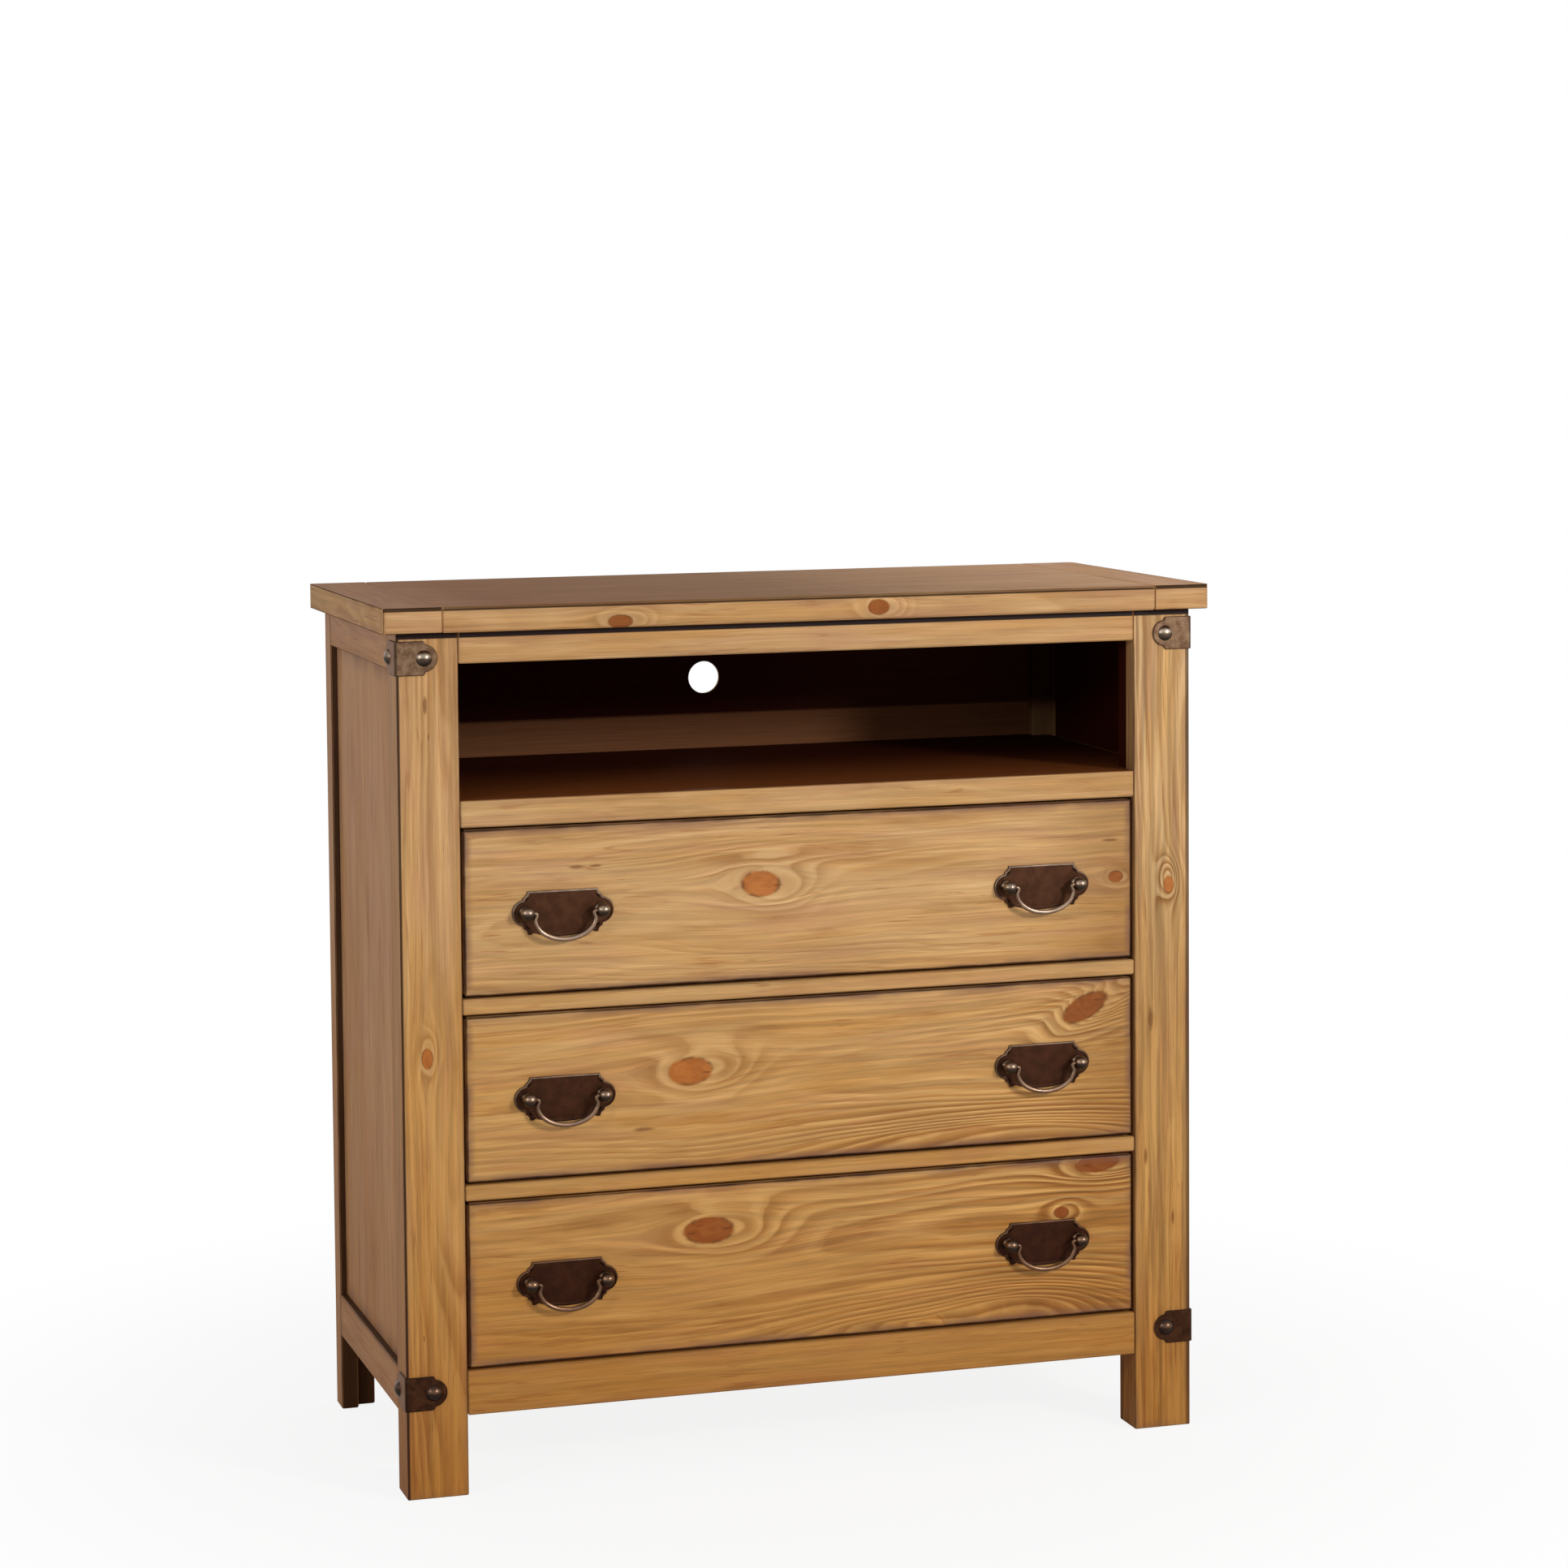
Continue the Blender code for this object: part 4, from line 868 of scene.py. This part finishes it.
def plate_mesh():
    """The back plate: a rounded raised rim round a sunk middle."""
    shape = new_shape()
    rim = [(0.0003, 0.0004, 0.4), (0.0005, 0.0003, 1.0), (0.0008, 0.0, 1.0), (0.0006, -0.0003, 0.3)]
    rim += [(0.0004, -0.0005, 0.0), (0.0003, -0.0001, 0.0), (0.0005, 0.0, 0.0)]
    stamped(shape, plate_outline(), 0.0014, rim)
    rub = shape.verts.layers.float["rub"]
    # Painted light on the plate's rim: brighter along its top and towards its left, with painted shade along
    # its bottom
    for spot in shape.verts:
        spot[rub] *= max(-0.8, min(1, 0.35 + 0.9 * spot.co.y / PLATE_TOP - 6 * spot.co.x))
    return finished(shape, "plate")


def post_mesh():
    """A turned post: a collar, a neck and a ball that is bored for the bail's end."""
    shape = new_shape()
    neck = math.degrees(math.asin(NECK_RADIUS / BALL_RADIUS))
    profile = [(0, BALL_STANDOFF + BALL_RADIUS)] + arc((0, BALL_STANDOFF), BALL_RADIUS, 84, neck - 90, 16)
    profile += [(NECK_RADIUS, 0.0032), (0.0052, 0.0027), (0.0058, 0.0021), (0.0054, 0.0015), (0.0066, 0.0013)]
    profile += [(0.0071, 0.0006), (0.0071, -0.0006), (0, -0.0006)]
    turned(shape, profile, 32, Matrix.Identity(4))
    paint_shade_and_highlight(shape, BALL_RADIUS)
    ball = finished(shape, "post")
    shape = new_shape()
    mouth = Matrix.Translation((-BALL_RADIUS, 0, BALL_STANDOFF)) @ Matrix.Rotation(math.pi / 2, 4, "Y")
    turned(shape, [(0, 0.0048), (BORE_RADIUS, 0.0048), (BORE_RADIUS, -0.004), (0, -0.004)], 20, mouth)
    return carved(ball, finished(shape, "bore"))


def bail_line():
    """The bail's middle line from its right end to its left, in X and Z."""
    corner = (POST_X - BAIL_BEND + BAIL_CORNER, -BAIL_CORNER)
    line = [(PIN_END, 0), (PIN_END - 0.0012, 0), (PIN_END - 0.0026, 0)]
    line += arc(corner, BAIL_CORNER, 90, 176, 6)
    line += arc((POST_X, 0), BAIL_BEND, 198, 218, 5)
    wide_x, wide_z = line[-1]
    for step in range(1, 21):
        angle = math.radians(90 * step / 20)
        line.append((wide_x * math.cos(angle), wide_z - (BAIL_DROP + wide_z) * math.sin(angle)))
    for _ in range(2):
        inner = [
            ((before[0] + 2 * spot[0] + after[0]) / 4, (before[1] + 2 * spot[1] + after[1]) / 4)
            for before, spot, after in zip(line, line[1:], line[2:])
        ]
        line = [line[0], *inner, line[-1]]
    line[-1] = (0, line[-1][1])
    return line + [(-x, z) for x, z in reversed(line[:-1])]


def bail_mesh():
    """A bent iron rod, round in section and thickest in the middle of its bow."""
    shape = new_shape()
    rub = shape.verts.layers.float["rub"]
    line = bail_line()
    lengths = [0.0]
    for before, after in zip(line, line[1:]):
        lengths.append(lengths[-1] + math.dist(before, after))
    sides, rings = 20, []
    for place, (x, z) in enumerate(line):
        before, after = line[max(place - 1, 0)], line[min(place + 1, len(line) - 1)]
        along = Vector((after[0] - before[0], 0, after[1] - before[1])).normalized()
        across = Vector((-along.z, 0, along.x))
        share = 1 - abs(2 * lengths[place] / lengths[-1] - 1)
        radius = 0.0020 + 0.0007 * min(1, share * 1.6) ** 0.8
        ring = []
        for step in range(sides):
            turn = 2 * math.pi * step / sides
            out = across * math.cos(turn) + Vector((0, -1, 0)) * math.sin(turn)
            spot = shape.verts.new(Vector((x, 0, z)) + out * radius)
            # Painted highlight on the rod's front, partly worn bright, and painted shade on its underside
            worn = min(1, share * 2) * (math.sin(turn) * 0.7 + 0.3)
            spot[rub] = worn - 1.3 * max(0, math.cos(turn)) ** 2 * min(1, share * 2)
            ring.append(spot)
        rings.append(ring)
    for first, second in zip(rings, rings[1:]):
        for step in range(sides):
            other = (step + 1) % sides
            shape.faces.new((first[step], first[other], second[other], second[step]))
    shape.faces.new(rings[0][::-1])
    shape.faces.new(rings[-1])
    return finished(shape, "bail", 60)


def make_pulls():
    to_front = Matrix.Rotation(math.pi / 2, 4, "X")
    flip = Matrix.Scale(-1, 4, (1, 0, 0))
    plate, post, bail = plate_mesh(), post_mesh(), bail_mesh()
    plate_iron = iron("iron_plates", (66, 40, 24), (80, 50, 32), rub_and_shading_level=0.55, roughness=0.46, metallic=0.4,
                      bump_strength=0.12)
    post_iron = iron("iron_posts", (58, 42, 32), (82, 63, 49), rub_and_shading_level=0.75, roughness=0.38, metallic=0.95,
                     bump_strength=0.08, coat=0.4)
    bail_iron = iron("iron_bails", (104, 82, 67), (132, 107, 88), rub_and_shading_level=0.60, roughness=0.40, metallic=0.9,
                     bump_strength=0.10, coat=0.4)
    for side in ("left", "right"):
        for number in DRAWER_KNOTS:
            node = f"pull_plate_{side}_{number}"
            low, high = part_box(node)
            middle_x = (low.x + high.x) / 2
            front = low.y + BALL_RADIUS + BALL_STANDOFF
            middle_z = high.z - PLATE_TOP
            drawer = f"drawer_{number}"
            back = Matrix.Translation((middle_x, front + PLATE_BACK, middle_z))
            add_metal(f"plate_{side}_{number}", plate, back @ to_front, drawer, node, plate_iron)
            for way, turn in (("left", flip), ("right", Matrix.Identity(4))):
                sign = -1 if way == "left" else 1
                root = Matrix.Translation((middle_x + sign * POST_X, front, middle_z + POST_RAISE))
                root = root @ to_front @ turn
                add_metal(f"post_{way}_{side}_{number}", post, root, drawer, node, post_iron)
            hinge = Matrix.Translation((middle_x, front - BALL_STANDOFF, middle_z + POST_RAISE))
            label = f"bail_{side}_{number}"
            add_metal(f"rod_{side}_{number}", bail, hinge, label, label, bail_iron)


# Corner brackets
def bracket_mesh():
    """A stamped sheet folded round a corner at the origin: one wing runs to +X, the other to +Y."""
    shape = new_shape()
    shoulder = [(BRACKET_SHOULDER - 0.0012, BRACKET_HALF), (BRACKET_SHOULDER, BRACKET_HALF - 0.0010)]
    ear = arc((EAR_X, 0), EAR_RADIUS, 82, 0, 12)
    upper = shoulder + ear
    right = upper + [(x, -y) for x, y in reversed(upper[:-1])]
    outline = right + [(-x, -y) for x, y in right]
    # The rim's outer steps carry painted shade along the outline
    rim = [(0.0002, 0.0003, -1.0), (0.0004, 0.0002, -0.8), (0.0006, 0.0, 0.0), (0.0008, 0.0, 0.0)]
    stamped(shape, outline[::-1], 0.0013, rim)
    rub = shape.verts.layers.float["rub"]
    half_turn = FOLD_RADIUS * math.pi / 4
    for step in (-8, -4, -3, -2, -1, 0, 1, 2, 3, 4, 8):
        everything = shape.verts[:] + shape.edges[:] + shape.faces[:]
        cut = (half_turn * step / 4, 0, 0)
        bmesh.ops.bisect_plane(shape, geom=everything, plane_co=cut, plane_no=(1, 0, 0), dist=1e-7)
    for spot in shape.verts:
        run, rise, out = spot.co
        # Painted shade along the fold
        if abs(run) < half_turn * 0.9:
            spot[rub] = -0.7
        if abs(run) < half_turn + 1e-7:
            turn = math.radians(45) * (1 - run / half_turn)
            reach = FOLD_RADIUS + out
            x, y = FOLD_RADIUS - reach * math.sin(turn), FOLD_RADIUS - reach * math.cos(turn)
        elif run > 0:
            x, y = FOLD_RADIUS + run - half_turn, -out
        else:
            x, y = -out, FOLD_RADIUS - run - half_turn
        spot.co = (x, y, rise)
    return finished(shape, "bracket", 50)


def stud_mesh():
    """A domed stud on a thin seat."""
    shape = new_shape()
    sphere = (STUD_RADIUS**2 + STUD_HEIGHT**2) / (2 * STUD_HEIGHT)
    edge = math.degrees(math.asin(STUD_RADIUS * 0.985 / sphere))
    dome = arc((0, STUD_HEIGHT - sphere), sphere, 88, 90 - edge, 12)
    profile = [(0, STUD_HEIGHT), *dome, (STUD_RADIUS, 0.0), (STUD_RADIUS, -0.0008), (0, -0.0008)]
    turned(shape, profile, 32, Matrix.Identity(4))
    paint_shade_and_highlight(shape, STUD_RADIUS)
    return finished(shape, "stud")


def make_brackets():
    bracket, stud = bracket_mesh(), stud_mesh()
    bracket_iron = iron("iron_brackets", (72, 50, 36), (100, 76, 58), rub_and_shading_level=0.3, roughness=0.46,
                        metallic=0.5, flank=(150, 110, 82))
    stud_iron = iron("iron_studs", (60, 44, 33), (84, 65, 50), rub_and_shading_level=0.45, roughness=0.38, metallic=0.95,
                     bump_strength=0.08, coat=0.4)
    flank_iron = iron("iron_flank_studs", (60, 44, 33), (84, 65, 50), rub_and_shading_level=0.12, roughness=0.34,
                      metallic=0.95, bump_strength=0.08, coat=0.4)
    reach = EAR_X + FOLD_SHIFT
    on_front = Matrix.Translation((reach, -SHEET, 0)) @ Matrix.Rotation(math.pi / 2, 4, "X")
    on_flank = Matrix.Translation((-SHEET, reach, 0)) @ Matrix.Rotation(-math.pi / 2, 4, "Y")
    on_flank = on_flank @ Matrix.Rotation(-math.pi / 2, 4, "Z")
    leg_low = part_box("front_leg_left")[0]
    for side in ("left", "right"):
        mirror = Matrix.Identity(4) if side == "left" else Matrix.Scale(-1, 4, (1, 0, 0))
        corner_x = (leg_low.x - GAP) * (1 if side == "left" else -1)
        for level in ("top", "bottom"):
            node = f"corner_bracket_{level}_{side}"
            low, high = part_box(node)
            place = Matrix.Translation((corner_x, leg_low.y - GAP, (low.z + high.z) / 2)) @ mirror
            add_metal(f"bracket_{level}_{side}", bracket, place, "carcass", node, bracket_iron)
            add_metal(f"stud_front_{level}_{side}", stud, place @ on_front, "carcass", node, stud_iron)
            add_metal(f"stud_flank_{level}_{side}", stud, place @ on_flank, "carcass", node, flank_iron)


# Camera, light and floor
def make_camera():
    data = bpy.data.cameras.new("camera")
    data.lens = CAMERA_LENS
    data.sensor_width = SENSOR
    data.shift_y = SHIFT_Y
    camera = bpy.data.objects.new("camera", data)
    bpy.context.scene.collection.objects.link(camera)
    yaw, pitch, roll = (math.radians(turn) for turn in (CAMERA_YAW, CAMERA_PITCH, CAMERA_ROLL))
    ahead = Vector((math.sin(yaw) * math.cos(pitch), math.cos(yaw) * math.cos(pitch), -math.sin(pitch)))
    level = Vector((math.cos(yaw), -math.sin(yaw), 0))
    upright = level.cross(ahead)
    right = level * math.cos(roll) + upright * math.sin(roll)
    up = upright * math.cos(roll) - level * math.sin(roll)
    turn = Matrix((right, up, -ahead)).transposed().to_4x4()
    camera.matrix_world = Matrix.Translation(CAMERA_PLACE) @ turn
    bpy.context.scene.camera = camera


def make_light():
    for name, (place, size, power, colour) in LAMPS.items():
        data = bpy.data.lights.new(name, "AREA")
        data.shape = "DISK"
        data.size = size
        data.energy = power
        data.color = colour
        light = bpy.data.objects.new(name, data)
        light.location = place
        light.rotation_euler = (Vector(LAMP_TARGET) - Vector(place)).to_track_quat("-Z", "Y").to_euler()
        bpy.context.scene.collection.objects.link(light)
    world = bpy.data.worlds.new("studio")
    bpy.context.scene.world = world
    world.use_nodes = True
    net = Net(world.node_tree)
    background = world.node_tree.nodes["Background"]
    background.inputs["Color"].default_value = WHITE
    rays = net.node("LightPath").outputs
    seen = net.math("MAXIMUM", rays["Is Camera Ray"], rays["Is Transmission Ray"])
    seen = net.math("MAXIMUM", seen, rays["Is Glossy Ray"])
    net.feed(background.inputs["Strength"], net.math("MULTIPLY_ADD", seen, 1 - ROOM_LIGHT, ROOM_LIGHT))


def make_floor():
    bpy.ops.mesh.primitive_plane_add(size=FLOOR_SIZE, location=(0, 0, FLOOR_Z))
    floor = bpy.context.active_object
    floor.name = "floor"
    material, net, shader = new_material("floor")
    shader.inputs["Base Color"].default_value = FLOOR_COLOUR
    shader.inputs["Roughness"].default_value = 0.9
    shader.inputs["Specular IOR Level"].default_value = 0.1
    glow = net.node("Emission", {"Color": WHITE, "Strength": 1.0})
    point = net.node("TexCoord").outputs["Object"]
    reach = net.node("VectorMath", operation="LENGTH")
    net.feed(reach.inputs[0], point)
    share = net.step(reach.outputs["Value"], WHITE_NEAR[0], WHITE_FAR[0], WHITE_NEAR[1], WHITE_FAR[1])
    seen = net.node("LightPath").outputs["Is Camera Ray"]
    blend = net.node("MixShader")
    net.feed(blend.inputs[0], net.times(share, seen))
    net.feed(blend.inputs[1], shader.outputs[0])
    net.feed(blend.inputs[2], glow.outputs[0])
    net.feed(material.node_tree.nodes["Material Output"].inputs["Surface"], blend.outputs[0])
    floor.data.materials.append(material)


make_camera()
make_light()
make_floor()
make_front()
make_top_and_sides()
make_inner_boards()
make_pulls()
make_brackets()
bpy.context.scene.view_settings.view_transform = "Standard"
